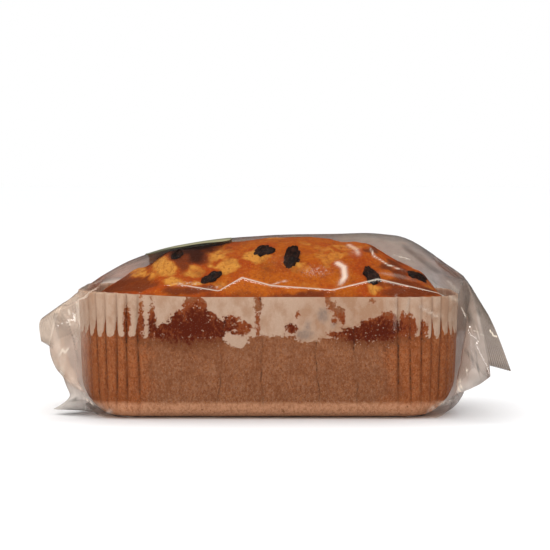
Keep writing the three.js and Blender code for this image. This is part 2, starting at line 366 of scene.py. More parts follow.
# How deep the pleats are at each point: full in the corners and ends, none along the flat sides, and
# shallower at the foot.
from_side_middle = np.abs((walked + rim_length / 4) % (rim_length / 2) - rim_length / 4)
quarter = np.floor(walked / (rim_length / 4))
wander_places = np.column_stack([walked / 6, walked * 0, level / 45])
from_side_middle += PLEAT_WANDER * smooth_noise(wander_places, 1.0, 15) * smoothstep(46, 56, from_side_middle)
pleated = smoothstep(PLEAT_START - 0.5, PLEAT_START + 1.5, from_side_middle)
risen = smoothstep(0.5, 16, level)
pleat_depth = PLEAT_DEPTH * pleated * (0.15 + 0.85 * risen) * (1 - 0.3 * smoothstep(44, 57, level))
pleat_depth *= level > 0.1
flat_side = (1 - pleated) * risen
# Each crease is also darkened in the soaked paper's colour: painted shade, with the fat that gathers in it.
crease_depth = np.zeros(len(case_points))
crease_dark = np.zeros(len(case_points))
from_crease = np.full(len(case_points), 99.0)
for number, (place, lean, depth) in enumerate(SIDE_CREASES):
    line = place + lean * (1 - level / CASE_HEIGHT)
    line = line + 0.5 * np.sin(level / 6 + place) + 0.25 * np.sin(level / 1.7 + place)
    near = np.exp(-np.abs(rim_x - line) / CREASE_SPREAD)
    crease_depth += depth * near * flat_side * (1 - 0.5 * smoothstep(34, 57, level))
    # The side on which a crease is passed takes turns, so that the distance has no jump between two.
    passed = (rim_x - line) * (-1) ** number
    crease_dark = np.where(np.abs(passed) < np.abs(from_crease), depth / 0.6, crease_dark)
    from_crease = np.where(np.abs(passed) < np.abs(from_crease), passed, from_crease)
sag = SIDE_SAG * smooth_noise(case_points, (30, 30, 20), 5) * flat_side
outward = loop_at(np.tile(rim_normals, (len(case_loops), 1)), 0)
case_points += outward * (sag - crease_depth - SIDE_INSET * flat_side)[:, None]
case_points[:, 2] += CASE_LIFT * (1 - level / CASE_HEIGHT)

# How far inside (+) or outside (-) the soaked part each point is, and how dark the cake shows there.
valley = (np.abs(2 * (((from_side_middle - PLEAT_START) / PLEAT_PITCH) % 1) - 1) ** 4) * pleated
on_front = case_points[:, 1] < 0
back_places = np.column_stack([rim_x, case_points[:, 1] * 0 + 3, level])
back_spots = 5.5 * smooth_noise(back_places, (9, 1, 8), 17) + 2.5 * smooth_noise(back_places, (4, 1, 3.5), 18)
back_spots = back_spots - 1.6 - 0.22 * np.clip(level - 38, 0, None)
ragged_line = SOAK_HEIGHT + 1.6 * smooth_noise(case_points, 9, 8) + 10 * valley
spots = np.where(on_front, spot_field(rim_x, level, FRONT_SOAKED), back_spots)
hollows = np.where(on_front, spot_field(rim_x, level, FRONT_DRY), -9.0)
soaked = np.maximum(ragged_line - level, spots)
soaked = np.where(hollows > -2, np.minimum(soaked, -hollows), soaked)
back_darkest = np.where(level > SOAK_HEIGHT - 4, spots - 3.5, -9.0)
darkest = np.where(on_front, spot_field(rim_x, level, FRONT_DARKEST), back_darkest)
dark = 0.42 * smoothstep(-4.0, 1.0, spots) * smoothstep(SOAK_HEIGHT - 10, SOAK_HEIGHT + 2, level)
dark *= 1 - 0.55 * smoothstep(45, 54, level)
dark += 0.25 * smoothstep(-9.0, -2.0, darkest) + 0.45 * smoothstep(-5.0, 3.0, darkest)
dark = np.maximum(dark, 0.5 * valley * smoothstep(33, 40, level))
smudge = np.where(on_front, smoothstep(-2.0, 1.8, spot_field(rim_x, level, FRONT_SMUDGES)), 0)


def node_group(name, kind, inputs, outputs):
    """A node group with these sockets, given as name: kind, and its inputs as they are met inside."""
    group = bpy.data.node_groups.new(name, kind)
    for way, sockets in (("INPUT", inputs), ("OUTPUT", outputs)):
        for label, socket in sockets.items():
            group.interface.new_socket(name=label, in_out=way, socket_type="NodeSocket" + socket)
    return group, put(group, "NodeGroupInput").outputs


def noise(place, scale, detail, roughness):
    """The result socket of a noise texture."""
    inputs = {"Vector": place, "Scale": scale, "Detail": detail, "Roughness": roughness}
    return put(place.id_data, "ShaderNodeTexNoise", inputs).outputs["Fac"]


# Wrinkled fibres, for the paper, the crust, the raisins and the label: a fine grain and larger blotches.
grain_inputs = {"Place": "Vector", "Scale": "Float", "Stretch": "Vector"}
grain_outputs = {"Grain": "Float", "Blotch": "Float"}
grain, asked = node_group("fibre_grain", "ShaderNodeTree", grain_inputs, grain_outputs)
stretched = put(grain, "ShaderNodeVectorMath", {0: asked["Place"], 1: asked["Stretch"]}, operation="MULTIPLY")
fine = noise(stretched.outputs[0], asked["Scale"], 5.0, 0.65)
coarse = noise(stretched.outputs[0], times(asked["Scale"], 0.22), 4.0, 0.6)
put(grain, "NodeGroupOutput", {"Grain": fine, "Blotch": coarse})


def grained(place, scale, upright=1.0):
    """The outputs of the grain group. With upright under 1 the grain is drawn out upwards."""
    inputs = {"Place": place, "Scale": scale, "Stretch": (1, 1, upright)}
    return put(place.id_data, "ShaderNodeGroup", inputs, node_tree=grain).outputs


def bump(height, strength, distance):
    """The result socket of a Bump node."""
    inputs = {"Height": height, "Strength": strength, "Distance": distance}
    return put(height.id_data, "ShaderNodeBump", inputs).outputs[0]


def layered(colour, *layers):
    """A colour with others laid over it, each given as its share and itself."""
    for share, over in layers:
        colour = mix_colours(share, colour, over)
    return colour


def mix_colours(share, first, second, blend="MIX"):
    """The result socket of a colour mix."""
    inputs = {0: share, 6: first, 7: second}
    tree = tree_of(inputs.values())
    return put(tree, "ShaderNodeMix", inputs, data_type="RGBA", blend_type=blend).outputs[2]


def ramp(value, low, high):
    """A socket that goes smoothly from 0 to 1 as value goes from low to high."""
    ends = {"Value": value, "From Min": low, "From Max": high}
    return put(value.id_data, "ShaderNodeMapRange", ends, interpolation_type="SMOOTHSTEP").outputs[0]


def between(value, low, high):
    """A socket that goes evenly from low to high as value goes from 0 to 1."""
    ends = {"Value": value, "To Min": low, "To Max": high}
    return put(value.id_data, "ShaderNodeMapRange", ends).outputs[0]


def minus(first, second):
    return math_node("SUBTRACT", first, second)


def attribute(tree, name):
    return put(tree, "ShaderNodeAttribute", attribute_name=name).outputs["Fac"]


def object_place(tree):
    return put(tree, "ShaderNodeTexCoord").outputs["Object"]


DRY_PAPER = (0.42, 0.275, 0.19, 1)
DRY_FIBRES = (0.56, 0.40, 0.30, 1)
DRY_SHADE = (0.24, 0.125, 0.07, 1)
DRY_THIN = (0.39, 0.225, 0.14, 1)
GREY_SMUDGE = (0.19, 0.145, 0.125, 1)
SOAKED_PAPER = (0.33, 0.125, 0.050, 1)
SOAKED_SPECKS = (0.175, 0.056, 0.021, 1)
PALE_SPECKS = (0.37, 0.185, 0.105, 1)
WET_BROWN = (0.235, 0.052, 0.014, 1)
DARK_CRUST = (0.095, 0.011, 0.0015, 1)
CREASE_DARK = (0.045, 0.018, 0.010, 1)
CRUMB_SPECKS = (0.55, 0.36, 0.25, 1)
FOOT_PAPER = (0.66, 0.34, 0.19, 1)
PLEAT_TINT = (1.15, 0.90, 0.66, 1)
FOOT_BAND = 7.2

paper_material, tree = new_material("baking_paper")
place = object_place(tree)
fibres = grained(place, 1500.0, 0.75)
clouds = grained(place, 850.0, 0.7)
ragged = noise(place, 620.0, 6.0, 0.68)
is_wet = ramp(plus(attribute(tree, "soaked"), between(ragged, -3.0, 3.0)), -0.25, 0.25)

# Distances from the nearest pleat's valley and from the nearest crease, in millimetres.
turns = math_node("DIVIDE", minus(attribute(tree, "walked"), PLEAT_START), PLEAT_PITCH)
to_valley = math_node("PINGPONG", turns, 0.5)
in_valley = ramp(times(to_valley, PLEAT_PITCH), 0.6, 0.05)
in_valley = times(in_valley, attribute(tree, "pleated"))
in_crease = ramp(math_node("ABSOLUTE", attribute(tree, "from_crease")), 0.55, 0.08)
in_crease = times(in_crease, attribute(tree, "crease_dark"))
# Painted shade: in the soaked paper the pleat valleys and the creases are darkened where shade falls into
# them, together with the fat that gathers there.
broken_up = times(ramp(clouds["Grain"], 0.36, 0.58), ramp(clouds["Blotch"], 0.34, 0.56))
line_share = times(math_node("MAXIMUM", in_valley, in_crease), broken_up)

# Dry paper: pale fibres, browner in places and right of the middle, shaded where it dips into a pleat,
# and grey where a raisin lies behind it.
thin_here = times(ramp(clouds["Blotch"], 0.42, 0.66), 0.75)
spot = put(tree, "ShaderNodeSeparateXYZ", {0: place}).outputs
right_part = times(ramp(spot["X"], 5 * MM, 30 * MM), ramp(spot["X"], 60 * MM, 44 * MM))
thin_here = plus(thin_here, times(right_part, 0.45))
smudged = plus(attribute(tree, "smudge"), between(clouds["Grain"], -0.7, 0.5))
dry_colour = layered(
    DRY_PAPER,
    (fibres["Grain"], DRY_FIBRES),
    (thin_here, DRY_THIN),
    (times(in_valley, 0.3), DRY_SHADE),
    (times(ramp(smudged, 0.1, 1.2), 0.75), GREY_SMUDGE),
)

# Soaked paper: mottled brown with dark and pale specks, and the wet crust showing dark above it.
mottled = layered(
    SOAKED_SPECKS,
    (ramp(fibres["Grain"], 0.33, 0.66), SOAKED_PAPER),
    (times(ramp(clouds["Grain"], 0.40, 0.70), 0.8), PALE_SPECKS),
    (times(ramp(clouds["Blotch"], 0.60, 0.38), 0.4), SOAKED_SPECKS),
)
up = plus(spot["Z"], between(clouds["Blotch"], -1.2 * MM, 1.2 * MM))
# The foot band is paler paper, painted paler still as painted light where the foot's rounding turns under
# into shade.
in_band = times(ramp(up, (FOOT_BAND + 1.4) * MM, (FOOT_BAND - 0.8) * MM), 0.75)
in_band = times(in_band, between(ramp(clouds["Grain"], 0.32, 0.62), 0.45, 1.0))
strayed = plus(attribute(tree, "walked"), between(clouds["Blotch"], -12.0, 12.0))
in_pleats = ramp(strayed, PLEAT_START - 6, PLEAT_START + 10)
mottled = mix_colours(in_pleats, mottled, PLEAT_TINT, "MULTIPLY")
deep = plus(attribute(tree, "dark"), between(clouds["Grain"], -0.85, 0.8))
deep = plus(deep, between(ragged, -0.45, 0.45))
deep = plus(deep, between(clouds["Blotch"], -0.6, 0.6))
low_tone = ramp(up, (SOAK_HEIGHT + 2.5) * MM, (SOAK_HEIGHT - 2.5) * MM)
first_tone = mix_colours(low_tone, WET_BROWN, SOAKED_SPECKS)
specks = put(tree, "ShaderNodeTexVoronoi", {"Vector": place, "Scale": 800.0}).outputs
is_speck = times(ramp(specks["Distance"], 0.30, 0.16), ramp(fibres["Blotch"], 0.52, 0.6))
is_speck = times(is_speck, ramp(deep, 0.3, 0.6))
soaked_colour = layered(
    mottled,
    (in_band, FOOT_PAPER),
    (ramp(deep, 0.12, 0.55), first_tone),
    (ramp(deep, 0.55, 1.05), DARK_CRUST),
    (times(is_speck, 0.8), CRUMB_SPECKS),
    (times(line_share, 0.85), CREASE_DARK),
)
paper_colour = mix_colours(is_wet, dry_colour, soaked_colour)
paper_relief = bump(fibres["Grain"], 0.3, 0.0002)
end_material(principled(tree, paper_colour, between(is_wet, 0.85, 0.6), 0.08, paper_relief))

case = mesh_object("paper_case", case_points, loop_faces(len(case_loops), CASE_COLUMNS), paper_material)
set_attributes(case, walked=from_side_middle, quarter=quarter, pleat_depth=pleat_depth)
set_attributes(case, pleated=pleated * risen, from_crease=from_crease, crease_dark=crease_dark * flat_side)
set_attributes(case, soaked=soaked, dark=dark, smudge=smudge)
merge_and_face_out(case)


def geometry_group(name, **inputs):
    """A geometry node group with a geometry and these other inputs, and its inputs as met inside."""
    geometry = {"Geometry": "Geometry"}
    return node_group(name, "GeometryNodeTree", {**geometry, **inputs}, geometry)


def named(tree, name, kind="FLOAT"):
    """The socket of a named attribute in a geometry tree."""
    return put(tree, "GeometryNodeInputNamedAttribute", {"Name": name}, data_type=kind).outputs["Attribute"]


def moved(geometry, way, distance):
    """The socket of a geometry whose points are moved along a vector by a distance in metres."""
    tree = geometry.id_data
    offset = put(tree, "ShaderNodeVectorMath", {0: way, "Scale": distance}, operation="SCALE").outputs[0]
    return put(tree, "GeometryNodeSetPosition", {"Geometry": geometry, "Offset": offset}).outputs[0]


def end_group(geometry, material):
    """Ends a geometry node group: instances are realized and the material is set."""
    tree = geometry.id_data
    real = put(tree, "GeometryNodeRealizeInstances", {0: geometry})
    painted = put(tree, "GeometryNodeSetMaterial", {"Geometry": real.outputs[0], "Material": material})
    put(tree, "NodeGroupOutput", {0: painted.outputs[0]})


# The pleats: every pitch round the wall the paper dips into a narrow valley between rounded ridges.
pleat_inputs = {"Pitch": "Float", "First": "Float", "Sharpness": "Float", "Unevenness": "Float"}
pleats, asked = geometry_group("pleats", **pleat_inputs, Seed="Int", Paper="Material")
past_first = minus(named(pleats, "walked"), asked["First"])
turns = math_node("DIVIDE", past_first, asked["Pitch"])
doubled = times(math_node("FRACT", turns), 2.0)
from_valley = math_node("ABSOLUTE", minus(doubled, 1.0))
dip = math_node("POWER", from_valley, asked["Sharpness"])
pleat_number = plus(math_node("ROUND", turns), asked["Seed"])
pleat_number = plus(pleat_number, times(named(pleats, "quarter"), 31.0))
chance = put(pleats, "ShaderNodeTexWhiteNoise", {"W": pleat_number}, noise_dimensions="1D").outputs["Value"]
own_depth = minus(1.0, times(chance, asked["Unevenness"]))
deep_by = times(times(dip, own_depth), named(pleats, "pleat_depth"))
skin_normal = put(pleats, "GeometryNodeInputNormal").outputs[0]
end_group(moved(asked["Geometry"], skin_normal, times(deep_by, -MM)), asked["Paper"])


def keep_result(made):
    """Turns what an object's modifiers make into its plain mesh."""
    bpy.context.view_layer.update()
    result = bpy.data.meshes.new_from_object(made.evaluated_get(bpy.context.evaluated_depsgraph_get()))
    made.modifiers.clear()
    made.data = result


def run_group(made, group, **values):
    """Runs a geometry node group on an object with these input values, and keeps the result."""
    modifier = made.modifiers.new(group.name, "NODES")
    modifier.node_group = group
    sockets = {item.name: item.identifier for item in group.interface.items_tree if item.in_out == "INPUT"}
    for key, value in values.items():
        modifier[sockets[key]] = value
    keep_result(made)


def thicken(made, thickness, offset):
    """Makes a sheet this thick in millimetres: inwards for offset -1, both ways for 0, outwards for 1."""
    wall = made.modifiers.new("thickness", "SOLIDIFY")
    wall.thickness = thickness * MM
    wall.offset = offset
    keep_result(made)


pleat_values = {"Pitch": PLEAT_PITCH, "First": PLEAT_START, "Sharpness": 4.5, "Unevenness": 0.5, "Seed": 4}
run_group(case, pleats, **pleat_values, Paper=paper_material)
thicken(case, PAPER_THICKNESS, -1)
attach(case, "root")
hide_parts("film_bag")


# ---- The cake ----
# A raisin loaf baked in the case. It fills the case to its rim and rises to an uneven dome, smooth and
# orange-brown where the crust is whole and yellow and rough where it has cracked open to the crumb.
CAKE_CREST = [
    (-86, 51), (-82, 54.5), (-78.5, 57), (-73, 60.4), (-68, 63.6), (-64.5, 66.2), (-58.5, 67.8), (-54, 71.2),
    (-50, 74.6), (-43, 76.6), (-36, 77.9), (-26, 79.0), (-18, 79.9), (0, 81.3), (13, 81.6), (25, 80.9),
    (35, 79.5), (46, 78.0), (49, 76.4), (51.5, 74.8), (58, 70.8), (64.5, 67.8), (71, 64.6), (75.5, 59.5),
    (80, 53), (86, 51),
]  # fmt: skip
CAKE_EDGE = 55.4
CAKE_FOOT = 1.6
CAKE_ROUNDNESS = 2.05
CAKE_GAP = 0.8  # between the cake and the flat sides of the case
PLEAT_GAP = 1.5  # how much further in the cake keeps where the case is pleated
WALL_SLACK = 0.9  # how far the cake's wall draws back between its foot and its rim
CAKE_FLOOR_RINGS = 3
CAKE_WALL_ROWS = 20
CAKE_DOME_ROWS = 78
DOME_ROW_POWER = 1.12  # above 1 the dome's rows are closer together at the rim
# Where the front of the dome is broken to the crumb, and where it is darkest from browning and the label's
# painted shadow: x, z, half sizes.
CRUMB_SPOTS = [
    (-49, 69, 6, 4), (-36, 67.5, 4.5, 2.6), (-45, 62.5, 7, 2), (-24, 75.5, 5, 3), (-62, 65.5, 4.5, 2),
    (-30, 72.5, 3, 2), (-20, 69.5, 5, 3), (-55, 64.5, 4, 2), (-8, 73, 5, 2.5), (10, 69, 6, 2.2),
    (48, 60.5, 3.5, 1.5), (-33, 62, 3, 1.5),
]  # fmt: skip
DARK_SPOTS = [
    (-67, 61, 13, 3.2), (-76, 59, 6, 3), (-38, 74, 10, 3.6), (-41.5, 70.3, 3.2, 2.4), (-48, 76, 6, 2.5),
    (-28, 76.8, 6, 1.6), (62, 63, 14, 1.8), (56, 69.6, 7, 1.2), (47, 76.4, 3, 1.2), (62, 59, 12, 2.6),
    (-36, 59, 10, 1.8), (15, 57, 12, 1.4), (59, 65.5, 4, 2.5),
]  # fmt: skip
# Where the label and its dark rim keep the light off the crust.
SHADED_SPOTS = [(-38, 77, 13, 3.2), (-34, 74, 4.5, 3.4), (-44, 74.5, 4, 3)]


def smooth_curve(profile, x):
    """A smooth curve through a profile's points (cubic Hermite with three-point slopes)."""
    knots, values = np.array(profile, float).T
    steps = np.diff(knots)
    rises = np.diff(values) / steps
    inner_slopes = (rises[:-1] * steps[1:] + rises[1:] * steps[:-1]) / (steps[:-1] + steps[1:])
    slopes = np.concatenate([rises[:1], inner_slopes, rises[-1:]])
    inside = np.clip(x, knots[0], knots[-1])
    i = np.clip(np.searchsorted(knots, inside, side="left") - 1, 0, len(steps) - 1)
    t = (inside - knots[i]) / steps[i]
    return (
        values[i] * (2 * t**3 - 3 * t**2 + 1)
        + values[i + 1] * (3 * t**2 - 2 * t**3)
        + steps[i] * (slopes[i] * (t**3 - 2 * t**2 + t) + slopes[i + 1] * (t**3 - t**2))
    )


by_pleats = smoothstep(PLEAT_START - 3, PLEAT_START + 1, from_side_middle[:CASE_COLUMNS])
cake_inset = CAKE_GAP + PLEAT_GAP * by_pleats
cake_length, cake_width, cake_corner = (size - CAKE_GAP for size in CASE_RIM)


def cake_top(x, y):
    """The dome's height, without its lumps."""
    into_corner = np.clip(np.abs(x - CASE_MIDDLE) - (cake_length - cake_corner), 0, cake_corner)
    half_width = cake_width - cake_corner + np.sqrt(cake_corner**2 - into_corner**2)
    crest = smooth_curve(CAKE_CREST, x)
    edge = np.minimum(crest, CAKE_EDGE)
    return edge + (crest - edge) * (1 - np.clip(np.abs(y) / half_width, 0, 1) ** CAKE_ROUNDNESS)


cake_loops = foot_loops(CAKE_FLOOR_RINGS, cake_inset, CAKE_FOOT)
rim_ring = case_ring(CASE_HEIGHT, cake_inset)
rim_top = cake_top(*rim_ring.T)
for i in range(1, CAKE_WALL_ROWS + 1):
    level = CAKE_FOOT + foot_round + (rim_top - CAKE_FOOT - foot_round) * i / CAKE_WALL_ROWS
    slack = WALL_SLACK * smoothstep(0, 0.25, i / CAKE_WALL_ROWS) * smoothstep(1, 0.85, i / CAKE_WALL_ROWS)
    foot_ring = case_ring(0, cake_inset + slack)
    spread = case_ring(CASE_HEIGHT, cake_inset + slack) - foot_ring
    cake_loops.append(loop_at(foot_ring + spread * (level / CASE_HEIGHT)[:, None], level))
spine_end = cake_length - cake_width
spine_x = np.clip(rim_ring[:, 0], CASE_MIDDLE - spine_end, CASE_MIDDLE + spine_end)
spine = np.column_stack([spine_x, np.zeros(CASE_COLUMNS)])
for i in range(1, CAKE_DOME_ROWS + 1):
    share = 1 - (i / CAKE_DOME_ROWS) ** DOME_ROW_POWER
    ring = spine + (rim_ring - spine) * share
    cake_loops.append(loop_at(ring, cake_top(*ring.T)))
cake_points = np.concatenate(cake_loops)
x, y, z = cake_points.T.copy()



def cake_noise(size, seed):
    return smooth_noise(cake_points, size, seed)


# Crumb, browning and the label's painted shadow over the surface, then lumps, the cracks between crumbs and
# small pits.
frontal = smoothstep(9, -6, y + 7 * cake_noise(8, 36))
broken = spot_field(x, z, CRUMB_SPOTS)
broken = frontal * smoothstep(-1.6, 1.2, broken + 1.3 * cake_noise(3.5, 21))
anywhere = cake_noise(13, 22) + 0.5 * cake_noise(5, 23)
broken = np.maximum(broken, (1 - 0.45 * frontal) * smoothstep(0.28, 0.62, anywhere))
strayed = cake_noise(4, 24) + 1.6 * cake_noise((9, 5, 9), 37)
# Below the label these dark spots are painted shadow, laid in with the browning.
browned = frontal * smoothstep(-1.8, 1.2, spot_field(x, z, DARK_SPOTS) + strayed)
toasted = cake_noise(17, 25) + 0.6 * cake_noise(6, 26)
browned = np.maximum(browned, (0.45 + 0.35 * smoothstep(-10, 12, y)) * smoothstep(0.35, 0.9, toasted))
browned = np.maximum(browned, 0.65 * smoothstep(CAKE_EDGE + 6, CAKE_EDGE, z + 2 * cake_noise(7, 35)))
browned = np.maximum(browned, 0.75 * smoothstep(72, 84, np.abs(x)))
broken *= 1 - browned
shaded = frontal * smoothstep(-1.0, 1.6, spot_field(x, z, SHADED_SPOTS) + 1.2 * cake_noise(4, 33))
open_crust = (y > 14) & (z > CAKE_EDGE + 3) & (np.abs(x - CASE_MIDDLE) < 66)
is_dome = smoothstep(CAKE_EDGE - 3, CAKE_EDGE + 2.5, z)
crumbs = (1 - np.abs(cake_noise(3.4, 27))) ** 4
lumps = 1.2 * cake_noise(15, 28) + 0.55 * cake_noise(6.5, 29)
rough = (0.5 + 0.9 * broken) * (0.4 * cake_noise(2.4, 30) + 0.22 * cake_noise(1.2, 31))
height = is_dome * (lumps - 0.5 + rough - (0.1 + 0.9 * broken) * crumbs)
height = np.minimum(height, 0) + 0.35 * np.maximum(height, 0)
room = smoothstep(0, 6, smooth_curve(CAKE_CREST, x) - 53)
cake_points[:, 2] += height * (0.4 + 0.6 * room)
cake_points[:, 1] -= np.sign(y) * 0.25 * is_dome * np.clip(lumps, -1, 1) * smoothstep(0, 20, np.abs(y))

CRUST = (0.365, 0.053, 0.002, 1)
PALE_CRUST = (0.44, 0.100, 0.004, 1)
GRAINS = (0.60, 0.235, 0.035, 1)
BROWN_CRUST = (0.16, 0.030, 0.006, 1)
CRUMB = (0.61, 0.26, 0.042, 1)
SHADED_CRUST = (0.050, 0.010, 0.003, 1)
DARK_PORES = (0.20, 0.040, 0.008, 1)

cake_material, tree = new_material("raisin_cake")
place = object_place(tree)
texture = grained(place, 700.0)
patches = grained(place, 300.0)
opened = plus(attribute(tree, "broken"), between(patches["Grain"], -0.6, 0.6))
# The browning layer also carries the painted shadow below the label.
scorched = plus(attribute(tree, "browned"), between(patches["Grain"], -0.6, 0.5))
in_cracks = times(ramp(attribute(tree, "crumbs"), 0.3, 1.0), 0.35)
in_cracks = times(in_cracks, ramp(opened, 0.0, 0.8))
pores = times(ramp(texture["Grain"], 0.50, 0.30), 0.7)
crust = layered(
    CRUST,
    (ramp(patches["Blotch"], 0.36, 0.64), PALE_CRUST),
    (ramp(opened, 0.15, 1.05), CRUMB),
    (times(ramp(texture["Grain"], 0.54, 0.70), 0.4), GRAINS),
    (ramp(scorched, 0.1, 1.0), BROWN_CRUST),
    (math_node("MAXIMUM", in_cracks, pores), DARK_PORES),
    (attribute(tree, "shaded"), SHADED_CRUST),
)
cake_relief = bump(texture["Grain"], 0.8, 0.0007)
end_material(principled(tree, crust, between(opened, 0.5, 0.8), 0.12, cake_relief))
cake = mesh_object("cake", cake_points, loop_faces(len(cake_loops), CASE_COLUMNS), cake_material)
set_attributes(cake, broken=broken, browned=browned, crumbs=crumbs, shaded=shaded, open_crust=open_crust)
merge_and_face_out(cake)
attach(cake, "root")
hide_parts("film_bag")


# ---- The raisins ----
# Dark wrinkled raisins sit half sunk in the crust. The six that show at the front are placed one by
# one, and the others are scattered over the back of the dome.
# Each front raisin: x, z, length, width and how far it is turned from lying level, in degrees.
FRONT_RAISINS = [
    (-44, 73.0, 7.0, 4.4, 85), (-28, 63.6, 11.0, 5.0, 40), (-4.1, 75.6, 10.5, 5.2, 36),
    (8.6, 72.0, 14.0, 7.6, 84), (45.2, 64.6, 10.0, 6.6, 100), (66.8, 64.0, 11.0, 5.4, -35),
]  # fmt: skip
RAISIN_COLUMNS = 56
RAISIN_ROWS = 30
RAISIN_THICKNESS = 5.2
RAISIN_SINK = 0.7
RAISIN_LEAN = 0.82  # 1 lies flat on the crust and 0 stands upright in it
STEEPEST = 0.68  # a raisin on a steep place is made longer at most by one over this
PATTERN_RAISIN = (10.0, 5.8)  # length and width of the raisin that is scattered
SCATTERED_SPACING = 19.0

RAISIN_BLACK = (0.008, 0.003, 0.002, 1)
RAISIN_BROWN = (0.038, 0.012, 0.006, 1)
raisin_material, tree = new_material("raisin_skin")
place = object_place(tree)
skin = grained(place, 1500.0)
skin_relief = bump(skin["Grain"], 0.4, 0.0002)
skin_colour = mix_colours(ramp(skin["Blotch"], 0.35, 0.7), RAISIN_BLACK, RAISIN_BROWN)
end_material(principled(tree, skin_colour, between(skin["Grain"], 0.35, 0.65), 0.3, skin_relief))


def raisin_form(length, width, seed):
    """A wrinkled raisin round the origin, its length along X and its thickness along Z."""
    turn = np.arange(RAISIN_COLUMNS) / RAISIN_COLUMNS * 2 * math.pi
    points = [(0, 0, -1)]
    for i in range(1, RAISIN_ROWS):
        tilt = math.pi * i / RAISIN_ROWS
        out = math.sin(tilt)
        points += [(out * math.cos(a), out * math.sin(a), -math.cos(tilt)) for a in turn]
    points = np.array(points + [(0, 0, 1)])
    shaped = points * (length / 2, width / 2, RAISIN_THICKNESS / 2)
    wrinkles = (1 - np.abs(smooth_noise(shaped, (2.8, 1.4, 1.6), seed))) ** 3
    creases = (1 - np.abs(smooth_noise(shaped, (1.3, 0.8, 0.9), seed + 7))) ** 3
    lumpy = smooth_noise(shaped, 3.0, seed + 1)
    shaped *= (1.10 + 0.16 * lumpy - 0.25 * wrinkles - 0.12 * creases)[:, None]
    last = len(points) - 1
    last_row = last - RAISIN_COLUMNS
    faces = [tuple(1 + v for v in face) for face in loop_faces(RAISIN_ROWS - 1, RAISIN_COLUMNS)]
    for j in range(RAISIN_COLUMNS):
        k = (j + 1) % RAISIN_COLUMNS
        faces += [(0, 1 + k, 1 + j), (last, last_row + j, last_row + k)]
    return shaped, faces


def surface_tree(made):
    """A search tree of an object's faces, in millimetres."""
    places = [v.co / MM for v in made.data.vertices]
    return BVHTree.FromPolygons(places, [p.vertices[:] for p in made.data.polygons])


cake_surface = surface_tree(cake)
raisin_points = []
raisin_faces = []
for number, (x, z, length, width, turned) in enumerate(FRONT_RAISINS):
    hit, normal, _, _ = cake_surface.ray_cast(Vector((x, -200, z)), Vector((0, 1, 0)))
    along = Vector((math.cos(math.radians(turned)), 0, math.sin(math.radians(turned))))
    along = (along - RAISIN_LEAN * along.dot(normal) * normal).normalized()
    normal = (normal - normal.dot(along) * along).normalized()
    beside = normal.cross(along)
    axes = np.array([along, beside, normal])
    # The lengths are as seen from the front, so they grow on a place that leans away.
    long_seen = max(STEEPEST, math.hypot(along.x, along.z))
    wide_seen = max(STEEPEST, math.hypot(beside.x, beside.z))
    form, faces = raisin_form(length / long_seen, width / wide_seen, 40 + 2 * number)
    first = sum(len(points) for points in raisin_points)
    raisin_points.append(np.array(hit - normal * RAISIN_SINK) + form @ axes)
    raisin_faces += [tuple(first + v for v in face) for face in faces]
front_raisins = mesh_object("front_raisins", np.concatenate(raisin_points), raisin_faces, raisin_material)
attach(front_raisins, "root")
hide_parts("film_bag")

scatter_inputs = {"Raisin": "Object", "Spacing": "Float", "Smallest": "Float", "Largest": "Float"}
scatter, asked = geometry_group("scattered_raisins", **scatter_inputs, Seed="Int", Skin="Material")
spread = put(
    scatter,
    "GeometryNodeDistributePointsOnFaces",
    {
        "Mesh": asked["Geometry"],
        "Selection": math_node("GREATER_THAN", named(scatter, "open_crust"), 0.5),
        "Distance Min": asked["Spacing"],
        "Density Max": 20000.0,
        "Seed": asked["Seed"],
    },
    distribute_method="POISSON",
)
spin = put(
    scatter,
    "FunctionNodeRandomValue",
    {0: (-0.2, -0.2, 0.0), 1: (0.2, 0.2, 2 * math.pi), "Seed": asked["Seed"]},
    data_type="FLOAT_VECTOR",
)
turned_by = put(scatter, "FunctionNodeEulerToRotation", {0: spin.outputs[0]})
spun = put(
    scatter,
    "FunctionNodeRotateRotation",
    {0: spread.outputs["Rotation"], 1: turned_by.outputs[0]},
    rotation_space="LOCAL",
)
size_inputs = {2: asked["Smallest"], 3: asked["Largest"], "Seed": asked["Seed"]}
size = put(scatter, "FunctionNodeRandomValue", size_inputs)
placed = put(
    scatter,
    "GeometryNodeInstanceOnPoints",
    {
        "Points": spread.outputs["Points"],
        "Instance": put(scatter, "GeometryNodeObjectInfo", {"Object": asked["Raisin"]}).outputs["Geometry"],
        "Rotation": spun.outputs[0],
        "Scale": size.outputs[1],
    },
)
end_group(placed.outputs[0], asked["Skin"])

pattern_form, pattern_faces = raisin_form(*PATTERN_RAISIN, 60)
pattern = mesh_object("raisin_pattern", pattern_form - (0, 0, RAISIN_SINK), pattern_faces, raisin_material)
back_raisins = cake.copy()
back_raisins.data = cake.data.copy()
back_raisins.name = "back_raisins"
bpy.context.scene.collection.objects.link(back_raisins)
raisin_values = {"Spacing": SCATTERED_SPACING * MM, "Smallest": 0.7, "Largest": 1.1, "Seed": 3}
run_group(back_raisins, scatter, Raisin=pattern, **raisin_values, Skin=raisin_material)
bpy.data.objects.remove(pattern)
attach(back_raisins, "root")
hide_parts("film_bag")


